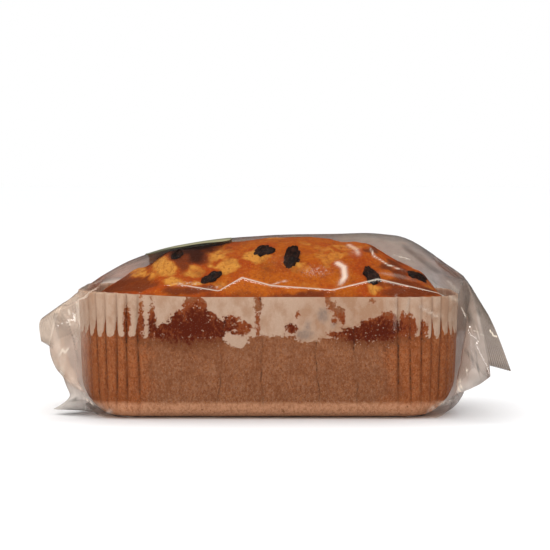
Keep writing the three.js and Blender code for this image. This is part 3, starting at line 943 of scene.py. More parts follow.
# ---- The film bag ----
# One web of clear film is folded round the case, sealed along the underside and flattened at both ends
# into crimped fins. It stands off the cake like a tent, creases along both shoulders and gathers into
# folds towards the fins.
BASE_HALF_WIDTH = 37.5
RIM_HALF_WIDTH = 46.5
RIM_HEIGHT = 57.0
BODY_END = 74.0
CORNER_TUCK = 3.0
TUCK_START = 52.0
FILM_CREST = [
    (-96, 52), (-84, 60.4), (-66, 70.8), (-53, 75.3), (-36, 78.8), (0, 82.4), (26, 82.9), (52, 82.9),
    (62, 81.3), (74, 74.6), (91, 61),
]  # fmt: skip
FRONT_SHOULDER = [
    (-97, 59), (-44, 62), (-23.7, 58.6), (-13.4, 64.7), (0, 61), (27, 59), (47.5, 64), (74, 57.6), (91, 57),
]  # fmt: skip
BACK_SHOULDER = [(-97, 59), (-52, 60), (-30, 64.5), (-6, 59.5), (24, 63.5), (46, 60), (91, 58.5)]
SHOULDER_LEAN = 0.35
DOME_POWER = 1.9
FOLD_HEIGHT = 10.0
FLAT_SHARE = 0.4
FIN_THICKNESS = 0.6
FILM_LIFT = 0.5  # the film's underside lies this high, on its folded seam
CREASE_SMOOTHING = 5
# The two ends. Each has two lines across, where the fin begins and where it is cut off: how far out and
# how high its middle is, its half width, and how far its near and its far corner droop and run out. The
# film leaves the body and arrives at the fin with these pulls at the floor, at the fold and at the top.
LEFT_END = {
    "side": -1,
    "inner": {"x": 96, "z": 51.4, "half_width": 50, "droops": (17, 18), "runs": (3, 0)},
    "cut": {"x": 105, "z": 44.8, "half_width": 52, "droops": (8, 20), "runs": (-2.5, 0)},
    "corner_power": 6,
    "notch": 0.0,
    "leave": (20, 12, 7),
    "arrive_x": (-7, 0.5, 7),
    "arrive_z": (36, 14, -5.5),
}
RIGHT_END = {
    "side": 1,
    "inner": {"x": 91, "z": 61, "half_width": 53, "droops": (40, 27), "runs": (6, 3)},
    "cut": {"x": 98.5, "z": 48, "half_width": 60, "droops": (24, 17), "runs": (6.9, 5)},
    "corner_power": 2.5,
    "notch": 0.05,
    "leave": (17, 12, 6),
    "arrive_x": (-4, 6, 6),
    "arrive_z": (44, 5, -5),
}
# The ear of loose film at the left end's foot: where it stands along the closing and round the loop, how
# far it spreads each way, how sharp it is, and how far it stands out and sinks.
EAR_ALONG = 0.3
EAR_ALONG_REACH = 0.17
EAR_SHARPNESS = 2.2
EAR_AROUND = 0.13
EAR_AROUND_REACH = 0.06
EAR_OUT = 13.5
EAR_DROP = 2.4
BODY_STATIONS = 184
END_STATIONS = 56
FIN_STATIONS = 56

# Half a loop round the loaf: 0 is the base's middle, then the base's edge, the level of the rim, the
# shoulder's crease, and 1 the crest. FOLD is where the flattened ends fold.
BASE_CORNER = 0.25
RIM = 0.5
SHOULDER = 0.55
FOLD = BASE_CORNER + (RIM - BASE_CORNER) * FOLD_HEIGHT / RIM_HEIGHT
HALF_STOPS = [  # where each run of loop points starts, and how many points it has
    (0, 9), (BASE_CORNER, 6), (FOLD, 34), (RIM, 5), (SHOULDER - 0.014, 13), (SHOULDER + 0.016, 48), (1, 0),
]  # fmt: skip
half = [np.linspace(a, b, n, endpoint=False) for (a, n), (b, _) in zip(HALF_STOPS, HALF_STOPS[1:])]
half = np.concatenate(half + [[1.0]])
around = np.concatenate([half, half[-2:0:-1]])
hand = np.where(np.arange(len(around)) < len(half), -1.0, 1.0)
LOOP = len(around)
FOLD_PLACE = int(np.argmin(np.abs(half - FOLD)))


def straight_runs(profile, x):
    return np.interp(x, *np.array(profile, float).T)


def film_body(x):
    """The film's loops in the planes at x, a column of numbers."""
    x = np.reshape(x, (-1, 1)).astype(float)
    tuck = CORNER_TUCK * smoothstep(TUCK_START, BODY_END, np.abs(x))
    base = BASE_HALF_WIDTH - tuck
    rim = RIM_HALF_WIDTH - tuck
    shoulder_z = np.where(hand < 0, straight_runs(FRONT_SHOULDER, x), straight_runs(BACK_SHOULDER, x))
    shoulder_y = rim - SHOULDER_LEAN * (shoulder_z - RIM_HEIGHT)
    low = np.clip((around - BASE_CORNER) / (RIM - BASE_CORNER), 0, 1)
    high = np.clip((around - RIM) / (SHOULDER - RIM), 0, 1)
    over = np.clip((1 - around) / (1 - SHOULDER), 0, 1)
    wall_y = base + (rim - base) * low + (shoulder_y - rim) * high
    wall_z = RIM_HEIGHT * low + (shoulder_z - RIM_HEIGHT) * high
    dome_z = shoulder_z + (smooth_curve(FILM_CREST, x) - shoulder_z) * (1 - over**DOME_POWER)
    upper_y = np.where(around < SHOULDER, wall_y, shoulder_y * over)
    y = np.where(around < BASE_CORNER, base * around / BASE_CORNER, upper_y)
    z = np.where(around < SHOULDER, wall_z, dome_z)
    return np.stack([np.broadcast_to(x, y.shape), hand * y, z], 2)


def share_to_fold(places):
    """How far out along a flattened end a loop place lies: 0 in the middle, 1 at the fold."""
    low = 0.5 * np.clip(places / BASE_CORNER, 0, 1)
    low += 0.5 * np.clip((places - BASE_CORNER) / (FOLD - BASE_CORNER), 0, 1)
    return np.where(places <= FOLD, low, 1 - (places - FOLD) / (1 - FOLD))


def across_end(end, line, across):
    """A point of a line across an end, where across runs from -1, the near corner, to 1, the far one."""
    near = across < 0
    corner = np.abs(across) ** end["corner_power"]
    x = line["x"] + np.where(near, *line["runs"]) * corner
    z = line["z"] - np.where(near, *line["droops"]) * corner
    return np.stack([end["side"] * x, line["half_width"] * across, z], -1)


def fin_way(end, across):
    """Which way the upper side of a fin faces."""
    outward = across_end(end, end["cut"], across) - across_end(end, end["inner"], across)
    way = np.stack([-end["side"] * outward[..., 2], 0 * across, end["side"] * outward[..., 0]], -1)
    return way / np.linalg.norm(way, axis=-1, keepdims=True)


def film_fin(end, t):
    """The loops of a fin, where the column t runs from 0 at its root to 1 at its cut edge."""
    t = np.reshape(t, (-1, 1))
    share = share_to_fold(around)
    across = hand * share
    # The near corner of a notched fin starts a little way in from the bag's own corner.
    notched = across * (1 - end["notch"] * (hand < 0) * smoothstep(0, 0.07, t) * share**8)
    layer = np.where(around > FOLD, 0.5, -0.5) * FIN_THICKNESS * (1 - share**8)
    inner = across_end(end, end["inner"], notched)
    cut = across_end(end, end["cut"], across)
    return inner + (cut - inner) * t[..., None] + fin_way(end, across) * layer[:, None]


def bell(away, width):
    """1 at no distance, falling smoothly to 0 a few widths away."""
    return np.exp(-((away / width) ** 2))


def film_closing(end, t):
    """The loops between the body and a fin, where the column t runs from 0 to 1: a Bezier curve for each."""
    t = np.reshape(t, (-1, 1, 1))
    side = end["side"]
    start = film_body([side * BODY_END])
    before = film_body([side * (BODY_END - 1)])
    finish = film_fin(end, [0.0])
    at_floor = smoothstep(0, FOLD - FLAT_SHARE * BASE_CORNER, FOLD - around)
    at_top = smoothstep(0, SHOULDER - FOLD, around - FOLD)
    shares = (at_floor, 1 - at_floor - at_top, at_top)
    keys = ("leave", "arrive_x", "arrive_z")
    leave, pull_x, pull_z = (sum(share * value for share, value in zip(shares, end[key])) for key in keys)
    slope = (start[..., 2] - before[..., 2]) * at_top
    first = start + np.stack([side * leave, 0 * leave, (slope * leave)[0]], -1)
    second = finish - np.stack([side * pull_x, 0 * pull_x, pull_z], -1)
    s = 1 - t
    points = s**3 * start + 3 * s**2 * t * first + 3 * s * t**2 * second + t**3 * finish
    if end is LEFT_END:
        near_fold = np.clip(1 - np.abs(t[..., 0] - EAR_ALONG) / EAR_ALONG_REACH, 0, 1) ** EAR_SHARPNESS
        near_line = bell(around - EAR_AROUND, EAR_AROUND_REACH) * (hand < 0)
        points[..., 0] += side * EAR_OUT * near_fold * near_line
        points[..., 2] -= EAR_DROP * near_fold * near_line
    return points


fin_steps = np.arange(1, FIN_STATIONS + 1) / FIN_STATIONS
end_steps = np.arange(1, END_STATIONS + 1) / END_STATIONS
body_steps = np.linspace(-BODY_END, BODY_END, BODY_STATIONS + 1)
film = np.concatenate([
    film_fin(LEFT_END, fin_steps[::-1]),
    film_closing(LEFT_END, end_steps[::-1]),
    film_body(body_steps),
    film_closing(RIGHT_END, end_steps),
    film_fin(RIGHT_END, fin_steps),
])  # fmt: skip
STATIONS = len(film)
on_body = np.zeros(BODY_STATIONS + 1)
on_ends = np.zeros(END_STATIONS)
on_fin = np.ones(FIN_STATIONS)
# How far along each end a loop lies: closing goes from 0 on the body to 1 at the fin's root, and fin
# from 0 at its root to 1 at its cut edge.
closing = np.concatenate([on_fin, end_steps[::-1], on_body, end_steps, on_fin])[:, None]
fin = np.concatenate([fin_steps[::-1], on_ends, on_body, on_ends, fin_steps])[:, None]
film[..., 2] += FILM_LIFT * smoothstep(2.5, 0, film[..., 2])
# The shoulder's crease is rounded to about a millimetre, which is what catches the light.
by_crease = (np.abs(around - SHOULDER) < 0.013)[None, :, None]
for _ in range(CREASE_SMOOTHING):
    film = np.where(by_crease, (np.roll(film, 1, axis=1) + 2 * film + np.roll(film, -1, axis=1)) / 4, film)


def outward_normals(skin):
    """The unit normals of a skin given as loops, from the run along it and the run round it."""
    along = np.gradient(skin, axis=0)
    round_it = np.roll(skin, -1, axis=1) - np.roll(skin, 1, axis=1)
    normals = np.cross(along, round_it)
    return normals / np.maximum(np.linalg.norm(normals, axis=2, keepdims=True), 1e-9)


def away_from_line(points, line):
    """Each point's distance from a line through several points, and how far along the line it is nearest."""
    best = np.full(points.shape[:-1], 1e9)
    along = np.zeros(points.shape[:-1])
    for number, (a, b) in enumerate(zip(line, line[1:])):
        run = b - a
        t = np.clip(((points - a) @ run) / (run @ run), 0, 1)
        away = np.linalg.norm(points - a - t[..., None] * run, axis=-1)
        along = np.where(away < best, (number + t) / (len(line) - 1), along)
        best = np.minimum(best, away)
    return best, along


def on_front_dome(x, z):
    """The film's point at this x and height on the front slope of the tent."""
    shoulder_z = float(straight_runs(FRONT_SHOULDER, x))
    shoulder_y = RIM_HALF_WIDTH - SHOULDER_LEAN * (shoulder_z - RIM_HEIGHT)
    crest = float(smooth_curve(FILM_CREST, x))
    up = min(max((crest - z) / (crest - shoulder_z), 0.0), 1.0)
    return np.array([x, -shoulder_y * up ** (1 / DOME_POWER), z])


# Creases across the front of the tent: x, z stops, how high each stands, how far it spreads, and how wide and
# how strong a painted highlight runs along it.
DOME_CREASES = [
    ([(44.6, 78), (46.4, 73.4), (52.3, 69.8), (57.8, 67.9), (66, 66)], 0.7, 2.6, 0.45, 0.8),
    ([(54, 74.5), (60, 73), (66, 71.8)], 0.5, 2.0, 0.4, 0.7),
    ([(46, 66.5), (58, 65), (70, 62.6), (77, 61)], 0.4, 1.8, 0.9, 0.3),
    ([(28.0, 71.5), (32.5, 68.8), (32.8, 64.5), (29.0, 59.2)], 0.9, 3.5, 1.3, 0.9),
    ([(34, 79), (38.5, 76.5), (40, 72.5)], 0.5, 3.0, 1.3, 0.45),
    ([(-1, 61), (4, 62.6), (9, 63.4)], 0.3, 2.0, 0.4, 0.5),
    ([(-41, 61.5), (-37, 66), (-39, 71)], -0.5, 3.5, 0.5, 0.0),
    ([(-25, 59), (-22, 66), (-24, 73)], 0.4, 3.5, 0.5, 0.0),
    ([(-13.4, 64.7), (-9, 70), (-4, 76)], 0.5, 3.0, 0.5, 0.0),
    ([(0, 61), (4, 67), (2, 73)], -0.4, 3.0, 0.5, 0.0),
    ([(-66, 61), (-57, 67), (-52, 73)], 0.6, 3.0, 0.5, 0.0),
    ([(-74, 59), (-70, 64.5), (-62, 70)], 0.6, 3.0, 0.5, 0.0),
    ([(10, 60), (14, 66), (20, 70)], 0.5, 3.5, 0.5, 0.0),
]  # fmt: skip
# Painted speckled highlights, where the film is finely crumpled: x, z, half sizes, strength.
FROSTED = [
    (20, 67, 10, 3.6, 0.42), (-38, 61.8, 8, 1.4, 0.9), (-26, 60.2, 5, 0.8, 0.7), (37, 75.5, 4, 4, 0.25),
    (3, 72, 7, 3, 0.12),
]  # fmt: skip
CREASE_WIDTH = 0.0032  # of the bright line along the shoulder, as a share of half a loop
film_normals = outward_normals(film)
rise = np.zeros(film.shape[:2])
on_front_side = hand[None, :] < 0
# The bright line along the shoulder's crease is a painted highlight in the film's colour, and so are the
# lines along the dome's creases below.
shoulder_shine = smoothstep(-46, -34, film[..., 0]) * smoothstep(82, 76, film[..., 0])
shoulder_shine = np.where(on_front_side, 0.75 * shoulder_shine, 0.25)
stress = shoulder_shine * bell(around - SHOULDER, CREASE_WIDTH) * smoothstep(0.3, 0.0, closing)
for stops, height, spread, width, whitening in DOME_CREASES:
    line = [on_front_dome(x, z) for x, z in stops]
    away, along = away_from_line(film, line)
    fade = smoothstep(0, 0.15, along) * smoothstep(1, 0.7, along)
    rise += height * np.exp(-away / spread) * fade
    stress = np.maximum(stress, bell(away, width) * fade * whitening)
# Painted glints, and painted shade along the folds of the gathered ends, as they are seen from the front: x,
# z stops, half width and strength.
END_GLINTS = [
    ([(-94.5, 30.2), (-93.6, 32.5), (-92.7, 30.6), (-91.3, 32.9)], 0.4, 0.5),
    ([(-91.6, 49.6), (-91.0, 48)], 0.4, 0.5), ([(-88.6, 48), (-88.2, 45)], 0.35, 0.5),
    ([(-91.3, 44.6), (-90.6, 43)], 0.4, 0.4), ([(-85, 9), (-71.9, 2.5)], 0.5, 0.45),
    ([(90.5, 40.6), (95, 38.4)], 0.4, 0.35), ([(98.1, 40.6), (99.5, 38.4), (100.8, 38)], 0.4, 0.5),
    ([(85.5, 51), (86.4, 48.8), (87.3, 46.5)], 0.3, 0.5), ([(86.9, 23), (89.1, 21.7)], 0.4, 0.5),
    ([(84.2, 17.9), (85.1, 12.3), (86.4, 15)], 0.4, 0.7), ([(70.7, 3.7), (76.5, 6.9), (83.3, 9.1)], 0.5, 0.5),
    ([(66.5, 51.3), (74, 47.3)], 0.9, 0.4), ([(55.4, 57), (55.0, 41)], 0.55, 0.28),
    ([(61.6, 55), (59.6, 48)], 0.55, 0.25), ([(-86, 58.5), (-72, 66.5), (-62, 71)], 0.6, 0.14),
    ([(-80, 59.5), (-66, 67), (-57, 71.5)], 0.9, 0.12), ([(79.5, 62), (84, 58)], 0.7, 0.25),
    ([(80, 56), (83.5, 54)], 0.8, 0.25),
]  # fmt: skip
END_FOLDS = [
    ([(87.5, 57), (88.5, 50), (90.5, 41)], 2.0, 0.35), ([(92, 50), (95, 47)], 1.6, 0.2),
    ([(87, 33), (94, 21.5)], 0.5, 0.35), ([(89.5, 33), (92, 30)], 0.5, 0.25),
    ([(58.5, 79.2), (68, 73), (78.5, 64.5)], 1.3, 0.9), ([(50, 80.5), (66, 70)], 0.9, 0.2),
    ([(63, 79), (72, 70), (80, 60)], 0.7, 0.25), ([(-93.1, 48.8), (-89, 36.1), (-86.8, 24.7)], 0.5, 0.3),
    ([(-90.3, 50), (-88, 40)], 0.4, 0.2), ([(-96, 52), (-84, 60.5)], 0.5, 0.15),
    ([(-92, 9.5), (-86, 4)], 1.0, 0.35),
]  # fmt: skip
FOLD_DEPTH = 0.5
FOLD_SPREAD = 2.0
# Painted shade where two layers overlap at the corners, and on the ear at the left end's foot, as seen from
# the front.
OVERLAPS = [
    ([(-98.8, 48.2), (-93.7, 48.7), (-91.7, 43.3), (-89.9, 38.9), (-95.7, 36.7)], 0.2),
    ([(89, 36.7), (100.1, 36.7), (106.5, 22.5), (96.6, 25.5)], 0.07),
    ([(-84.6, 7), (-81.4, 7.4), (-73.2, 2.4), (-79.6, 1.5)], 0.6),
    ([(-98.5, 3), (-93, 7.5), (-82, 9), (-82, 1), (-92, 1)], 0.22),
]  # fmt: skip


def inside_polygon(x, z, corners):
    """How far inside a convex polygon each point lies; negative outside."""
    inner = np.full(x.shape, 99.0)
    middle = np.mean(corners, axis=0)
    for (x0, z0), (x1, z1) in zip(corners, corners[1:] + corners[:1]):
        run = np.hypot(x1 - x0, z1 - z0)
        away = ((x - x0) * (z1 - z0) - (z - z0) * (x1 - x0)) / run
        side = math.copysign(1, (middle[0] - x0) * (z1 - z0) - (middle[1] - z0) * (x1 - x0))
        inner = np.minimum(inner, away * side)
    return inner


seen_places = film[..., [0, 2]]
at_front = on_front_side * smoothstep(0, -4, film[..., 1])
for stops, width, strength in END_GLINTS:
    away, _ = away_from_line(seen_places, np.array(stops, float))
    stress = np.maximum(stress, strength * bell(away, width) * at_front)
shade = np.zeros(film.shape[:2])
for stops, width, strength in END_FOLDS:
    away, along = away_from_line(seen_places, np.array(stops, float))
    fade = smoothstep(0, 0.2, along) * smoothstep(1, 0.8, along)
    shade = np.maximum(shade, strength * bell(away, width) * at_front * fade)
    rise -= FOLD_DEPTH * strength * np.exp(-away / FOLD_SPREAD) * fade * at_front
for corners, strength in OVERLAPS:
    inner = inside_polygon(film[..., 0], film[..., 2], corners)
    shade = np.maximum(shade, strength * smoothstep(-0.3, 0.3, inner) * at_front)
frost = np.zeros(film.shape[:2])
for x, z, half_x, half_z, strength in FROSTED:
    away = np.hypot((film[..., 0] - x) / half_x, (film[..., 2] - z) / half_z)
    frost = np.maximum(frost, strength * smoothstep(1, 0.3, away) * (around > RIM) * on_front_side)

# The gathers of both ends: creases that fan from the body to the fin.
draw = np.random.default_rng(7)
GATHERS = 9  # on each side of each end
GATHER_WHITENING = 0.13
GATHER_WIDTH = 0.4
right_station = FIN_STATIONS + END_STATIONS + BODY_STATIONS + 1
in_closing = (closing > 0) & (fin == 0)
for end, first_station in ((LEFT_END, FIN_STATIONS), (RIGHT_END, right_station)):
    for half_side in (-1, 1):
        for gather in range(GATHERS):
            at_body = 0.30 + 0.66 * (gather + draw.uniform(0.1, 0.9)) / GATHERS
            at_fin = np.clip(at_body + draw.uniform(-0.14, 0.14), 0.31, 0.99)
            height = draw.choice([-1, 1]) * draw.uniform(0.7, 1.9)
            spread = draw.uniform(2.0, 4.5)
            starts = draw.uniform(0.02, 0.4)
            line = []
            for t in np.linspace(starts, 1.0, 7):
                wanted = at_body + (at_fin - at_body) * t
                column = np.argmin(np.abs(around - wanted) + 9 * (hand != half_side))
                step = int(round(t * (END_STATIONS - 1)))
                station = first_station + (END_STATIONS - 1 - step if end is LEFT_END else step)
                line.append(film[station, column])
            away, along = away_from_line(film, line)
            fade = smoothstep(0, 0.25, along) * smoothstep(1.0, 0.9, along) * in_closing
            fade = fade * smoothstep(2.0, 12.0, film[..., 2])
            rise += height * np.exp(-away / spread) * fade
            # Each gather carries a thin painted highlight along its crease.
            stress = np.maximum(stress, GATHER_WHITENING * bell(away, GATHER_WIDTH) * fade)

# Crumpling everywhere: faint over the paper and the dome, strong where the ends are gathered.
WALL_CRUMPLE = 0.10
DOME_CRUMPLE = 0.32
FINE_DOME_CRUMPLE = 0.25
END_CRUMPLE = 1.3
FINE_END_CRUMPLE = 0.5
flat_points = film.reshape(-1, 3)


def ridges(size, seed):
    """Sharp ridges that wander through lumps of this size."""
    return 0.55 - 1.6 * np.abs(smooth_noise(flat_points, size, seed)).reshape(film.shape[:2])


walls = smoothstep(BASE_CORNER - 0.02, BASE_CORNER + 0.05, around) * (around < SHOULDER)
on_dome = smoothstep(SHOULDER, SHOULDER + 0.06, around)
free = smoothstep(0.0, 0.35, closing) * smoothstep(2.0, 14.0, film[..., 2])
rise += (WALL_CRUMPLE * walls + DOME_CRUMPLE * on_dome) * ridges((34, 12, 12), 71) * (1 - free)
rise += FINE_DOME_CRUMPLE * on_dome * ridges((9, 6, 6), 72) * (1 - free)
end_crumple = END_CRUMPLE * ridges((13, 11, 17), 73) + FINE_END_CRUMPLE * ridges((5, 5, 7), 74)
rise += free * (1 - fin) * end_crumple
rise *= (0.2 + 0.8 * smoothstep(1.0, 0.85, closing)) * (1 - 0.6 * smoothstep(0.8, 0.95, around) * (1 - free))
# The film is a fixed length round, so it crumples more inwards than outwards.
OUTWARD_SHARE = 0.35
rise = np.minimum(rise, 0) + OUTWARD_SHARE * np.maximum(rise, 0)
film += film_normals * rise[..., None]

# The film is kept clear of the case and the cake: one closed form, with the dome's lumps smoothed away.
CLEARANCE = 0.45
LUMP_ROOM = 0.35
SEARCH_REACH = 12.0  # film further off than this is clear anyway
ENVELOPE_STEPS = 12
envelope_loops = []
for i in range(ENVELOPE_STEPS + 1):
    level = CASE_HEIGHT * i / ENVELOPE_STEPS
    inset = foot_round - np.sqrt(np.clip(foot_round**2 - np.clip(foot_round - level, 0, None) ** 2, 0, None))
    ring = case_ring(level, inset)
    lift = CASE_LIFT * (1 - level / CASE_HEIGHT)
    envelope_loops.append(loop_at(ring, level + rim_rise(ring, level) + lift))
rim_level = envelope_loops[-1][:, 2]
for loop in cake_loops[-CAKE_DOME_ROWS::3]:
    top = np.where(loop[:, 2] < CAKE_EDGE + 4, np.maximum(loop[:, 2], rim_level), loop[:, 2])
    envelope_loops.append(loop_at(loop[:, :2], top + LUMP_ROOM))
envelope = BVHTree.FromPolygons(
    [Vector(p) for p in np.concatenate(envelope_loops)],
    loop_faces(len(envelope_loops), CASE_COLUMNS),
)
for point in film.reshape(-1, 3):
    near, normal, _, away = envelope.find_nearest(Vector(point), SEARCH_REACH)
    if near is None:
        continue
    outwards = Vector(point) - near
    if outwards.dot(normal) < 0:
        point[:] = near + normal * CLEARANCE
    elif away < CLEARANCE:
        point[:] = near + (outwards / away if away > 1e-6 else normal) * CLEARANCE

# The skin's faces: quads between the loops, and at each cut edge a strip that closes the two layers.
film_faces = loop_faces(STATIONS, LOOP)
lower = np.concatenate([np.arange(FOLD_PLACE, -1, -1), np.arange(LOOP - 1, LOOP - FOLD_PLACE - 1, -1)])
upper = np.arange(FOLD_PLACE, LOOP - FOLD_PLACE + 1)
lean_out = hand * share_to_fold(around)
for first in (0, (STATIONS - 1) * LOOP):
    i = j = 0
    while i < len(lower) - 1 or j < len(upper) - 1:
        upper_done = j == len(upper) - 1
        step_lower = upper_done or (i < len(lower) - 1 and lean_out[lower[i + 1]] < lean_out[upper[j + 1]])
        corner = lower[i + 1] if step_lower else upper[j + 1]
        if len({lower[i], upper[j], corner}) == 3:
            film_faces.append((first + lower[i], first + upper[j], first + corner))
        i, j = (i + 1, j) if step_lower else (i, j + 1)


# Clear film: nearly invisible face on, mirror-like at a glance, and milky where it is gathered. What
# shows through it of its own far side is the dull beige inside of the bag.
NEAR_MILK = (0.60, 0.50, 0.42, 1)
NEAR_LEFT = (0.95, 0.77, 0.63, 1)
NEAR_RIGHT = (0.36, 0.30, 0.255, 1)
FAR_OVER_CAKE = (0.55, 0.72, 0.70, 1)
FAR_LEFT = (0.98, 0.82, 0.68, 1)
FAR_RIGHT = (0.50, 0.41, 0.355, 1)
FAR_LOW = (1.0, 0.93, 0.87, 1)
FOLD_SHADE = (0.20, 0.155, 0.13, 1)
FOLD_DARK = (0.06, 0.048, 0.04, 1)
WHITENED = (0.97, 0.86, 0.73, 1)
CLEAR_FILM = (0.985, 0.98, 0.975, 1)
FAR_SHARE = (0.78, 0.90)  # how milky the far side looks over the cake, and at the ends
FACING_SHINE = 0.035
GRAZING_SHINE = 0.6
film_material, tree = new_material("clear_film")
place = object_place(tree)
crumple = noise(place, 160.0, 3.0, 0.55)
film_relief = bump(crumple, 0.2, 0.0005)
# The speckled highlights are painted, broken up by a fine noise.
frosted = times(attribute(tree, "frost"), ramp(noise(place, 1400.0, 2.0, 0.6), 0.48, 0.66))
whitened = math_node("MAXIMUM", attribute(tree, "stress"), frosted)
# Painted shade along the folds of the ends and where layers overlap.
folded = attribute(tree, "shade")
ribbed = times(ramp(attribute(tree, "rib"), -0.7, 0.7), attribute(tree, "crimp_share"))
near_share = attribute(tree, "haze")
for effect, weight in ((whitened, 0.7), (folded, 0.5), (ribbed, 0.2)):
    near_share = plus(near_share, times(effect, weight))
inside = put(tree, "ShaderNodeNewGeometry").outputs["Backfacing"]
seen_inside = times(inside, put(tree, "ShaderNodeLightPath").outputs["Is Camera Ray"])
at_end = math_node("MAXIMUM", attribute(tree, "at_left"), attribute(tree, "at_right"))
far_share = between(at_end, *FAR_SHARE)
share_inputs = {0: seen_inside, 2: near_share, 3: far_share}
share = put(tree, "ShaderNodeMix", share_inputs, data_type="FLOAT").outputs[0]
clear = put(tree, "ShaderNodeBsdfTransparent", {"Color": CLEAR_FILM})
spot = put(tree, "ShaderNodeSeparateXYZ", {0: place}).outputs
# Painted light and shade: the milk is painted paler at the left end and low down at the ends, where more
# light falls, and darker at the right end, where less falls. Over the cake the far side is painted cool
# against the orange light the cake throws on it.
leftmost = ramp(spot["X"], -50 * MM, -76 * MM)
far_right = ramp(spot["X"], 62 * MM, 88 * MM)
near_right = ramp(spot["X"], 80 * MM, 96 * MM)
low_down = ramp(spot["Z"], 22 * MM, 4 * MM)
far_milk = layered(FAR_OVER_CAKE, (leftmost, FAR_LEFT), (far_right, FAR_RIGHT), (low_down, FAR_LOW))
near_milk = layered(NEAR_MILK, (leftmost, NEAR_LEFT), (near_right, NEAR_RIGHT), (low_down, FAR_LOW))
# Over the milk go painted shade in the crumples, the crimp ribs and the folds, and on top the painted
# highlights.
milk = layered(
    near_milk,
    (inside, far_milk),
    (between(crumple, -0.3, 0.55), FOLD_SHADE),
    (times(ribbed, 0.65), FOLD_SHADE),
    (ramp(folded, 0.0, 0.5), FOLD_DARK),
    (ramp(whitened, 0.05, 0.4), WHITENED),
)
milky = principled(tree, milk, 0.6, 0.0, film_relief)
body = put(tree, "ShaderNodeMixShader", {0: share, 1: clear.outputs[0], 2: milky})
facing = put(tree, "ShaderNodeLayerWeight", {"Blend": 0.5, "Normal": film_relief}).outputs["Facing"]
shine = plus(times(math_node("POWER", facing, 4.0), GRAZING_SHINE), FACING_SHINE)
shine = times(shine, minus(1.0, attribute(tree, "dull")))
mirror_inputs = {"Color": (1, 1, 1, 1), "Roughness": 0.08, "Normal": film_relief}
mirror = put(tree, "ShaderNodeBsdfGlossy", mirror_inputs)
surface = put(tree, "ShaderNodeMixShader", {0: shine, 1: body.outputs[0], 2: mirror.outputs[0]})
end_material(surface.outputs[0])

bag = mesh_object("film_bag_skin", film.reshape(-1, 3), film_faces, film_material)
# How milky the near film is: over the cake, at both ends, in the fins, low down at the ends, and on the
# left slope of the tent.
CLEAR_HAZE = 0.003
RIGHT_HAZE = 0.14
LEFT_HAZE = 0.36
FIN_HAZE = 0.27
LOW_HAZE = 0.35
TENT_HAZE = 0.14
DULLEST = 0.9
# Besides the milkiness of the gathered film, the haze at both ends, low down at the ends and on the left
# slope of the tent shows more of the milk's painted light and shade.
at_left = smoothstep(-80, -90, film[..., 0])
at_right = smoothstep(78, 88, film[..., 0])
haze = CLEAR_HAZE + (RIGHT_HAZE * at_right + LEFT_HAZE * at_left) * (1 - fin)
haze = haze + FIN_HAZE * smoothstep(0, 0.1, fin)
haze = haze + LOW_HAZE * np.maximum(at_left, at_right) * smoothstep(22, 6, film[..., 2])
over_left = smoothstep(-58, -76, film[..., 0])
haze = haze + TENT_HAZE * over_left * smoothstep(62, 67, film[..., 2]) * (1 - at_left)
fin_share = smoothstep(0.04, 0.12, fin) * smoothstep(1.0, 0.97, fin)
# The film takes no shine in the strip under the crease, nor at the left where the crease fades out.
dull = DULLEST * smoothstep(-44, -52, film[..., 0]) * smoothstep(-86, -80, film[..., 0]) * on_front_side
dull = dull * smoothstep(SHOULDER + 0.12, SHOULDER + 0.06, around)
under_crease = smoothstep(SHOULDER - 0.004, SHOULDER - 0.012, around)
dull = np.maximum(dull, DULLEST * under_crease * on_front_side)
dull = dull * smoothstep(RIM - 0.02, RIM, around)
FIN_REACH = 11.0
CRIMP_PITCH = 1.1
CRIMP_DEPTH = 0.2
crimp_way = np.zeros(film.shape)
crimp_way[:FIN_STATIONS] = fin_way(LEFT_END, lean_out)
crimp_way[-FIN_STATIONS:] = fin_way(RIGHT_END, lean_out)
all_round = np.ones(film.shape[:2])
rib_wave = np.sin(2 * math.pi * (1 - fin) * FIN_REACH / CRIMP_PITCH)
set_attributes(bag, haze=haze, dull=dull, stress=stress, frost=frost, shade=shade)
set_attributes(bag, at_left=at_left, at_right=at_right, rib=rib_wave * all_round)
set_attributes(bag, crimp_run=(1 - fin) * FIN_REACH * all_round, crimp_share=fin_share * all_round)
set_attributes(bag, crimp_way=crimp_way)
merge_and_face_out(bag)

# The crimps: ribs that the sealing jaws press into the fins, square to the way the film runs.
crimp, asked = geometry_group("crimps", Pitch="Float", Depth="Float", Film="Material")
turn = times(math_node("DIVIDE", named(crimp, "crimp_run"), asked["Pitch"]), 2 * math.pi)
wave = times(math_node("SINE", turn), named(crimp, "crimp_share"))
deep_by = times(times(wave, asked["Depth"]), MM)
end_group(moved(asked["Geometry"], named(crimp, "crimp_way", "FLOAT_VECTOR"), deep_by), asked["Film"])
run_group(bag, crimp, Pitch=CRIMP_PITCH, Depth=CRIMP_DEPTH, Film=film_material)
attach(bag, "root")
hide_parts("film_bag")


# ---- The seam under the bag ----
# The two edges of the web are sealed into a narrow ribbed fin that runs along the underside and is
# folded flat under the pack.
SEAM_REACH = 76.0
SEAM_FRONT = -9.0
SEAM_BACK = 3.0
SEAM_COLUMNS = 560
SEAM_ROWS = 12
SEAM_HEIGHT = 0.3
SEAM_THICKNESS = 0.12
SEAM_CRIMP_DEPTH = 0.06
SEAM_HAZE = 0.35


def grid_faces(rows, columns):
    """The quads of a grid of points that is given row by row."""
    corners = [(r * columns + c, (r + 1) * columns + c) for r in range(rows - 1) for c in range(columns - 1)]
    return [(near, near + 1, far + 1, far) for near, far in corners]


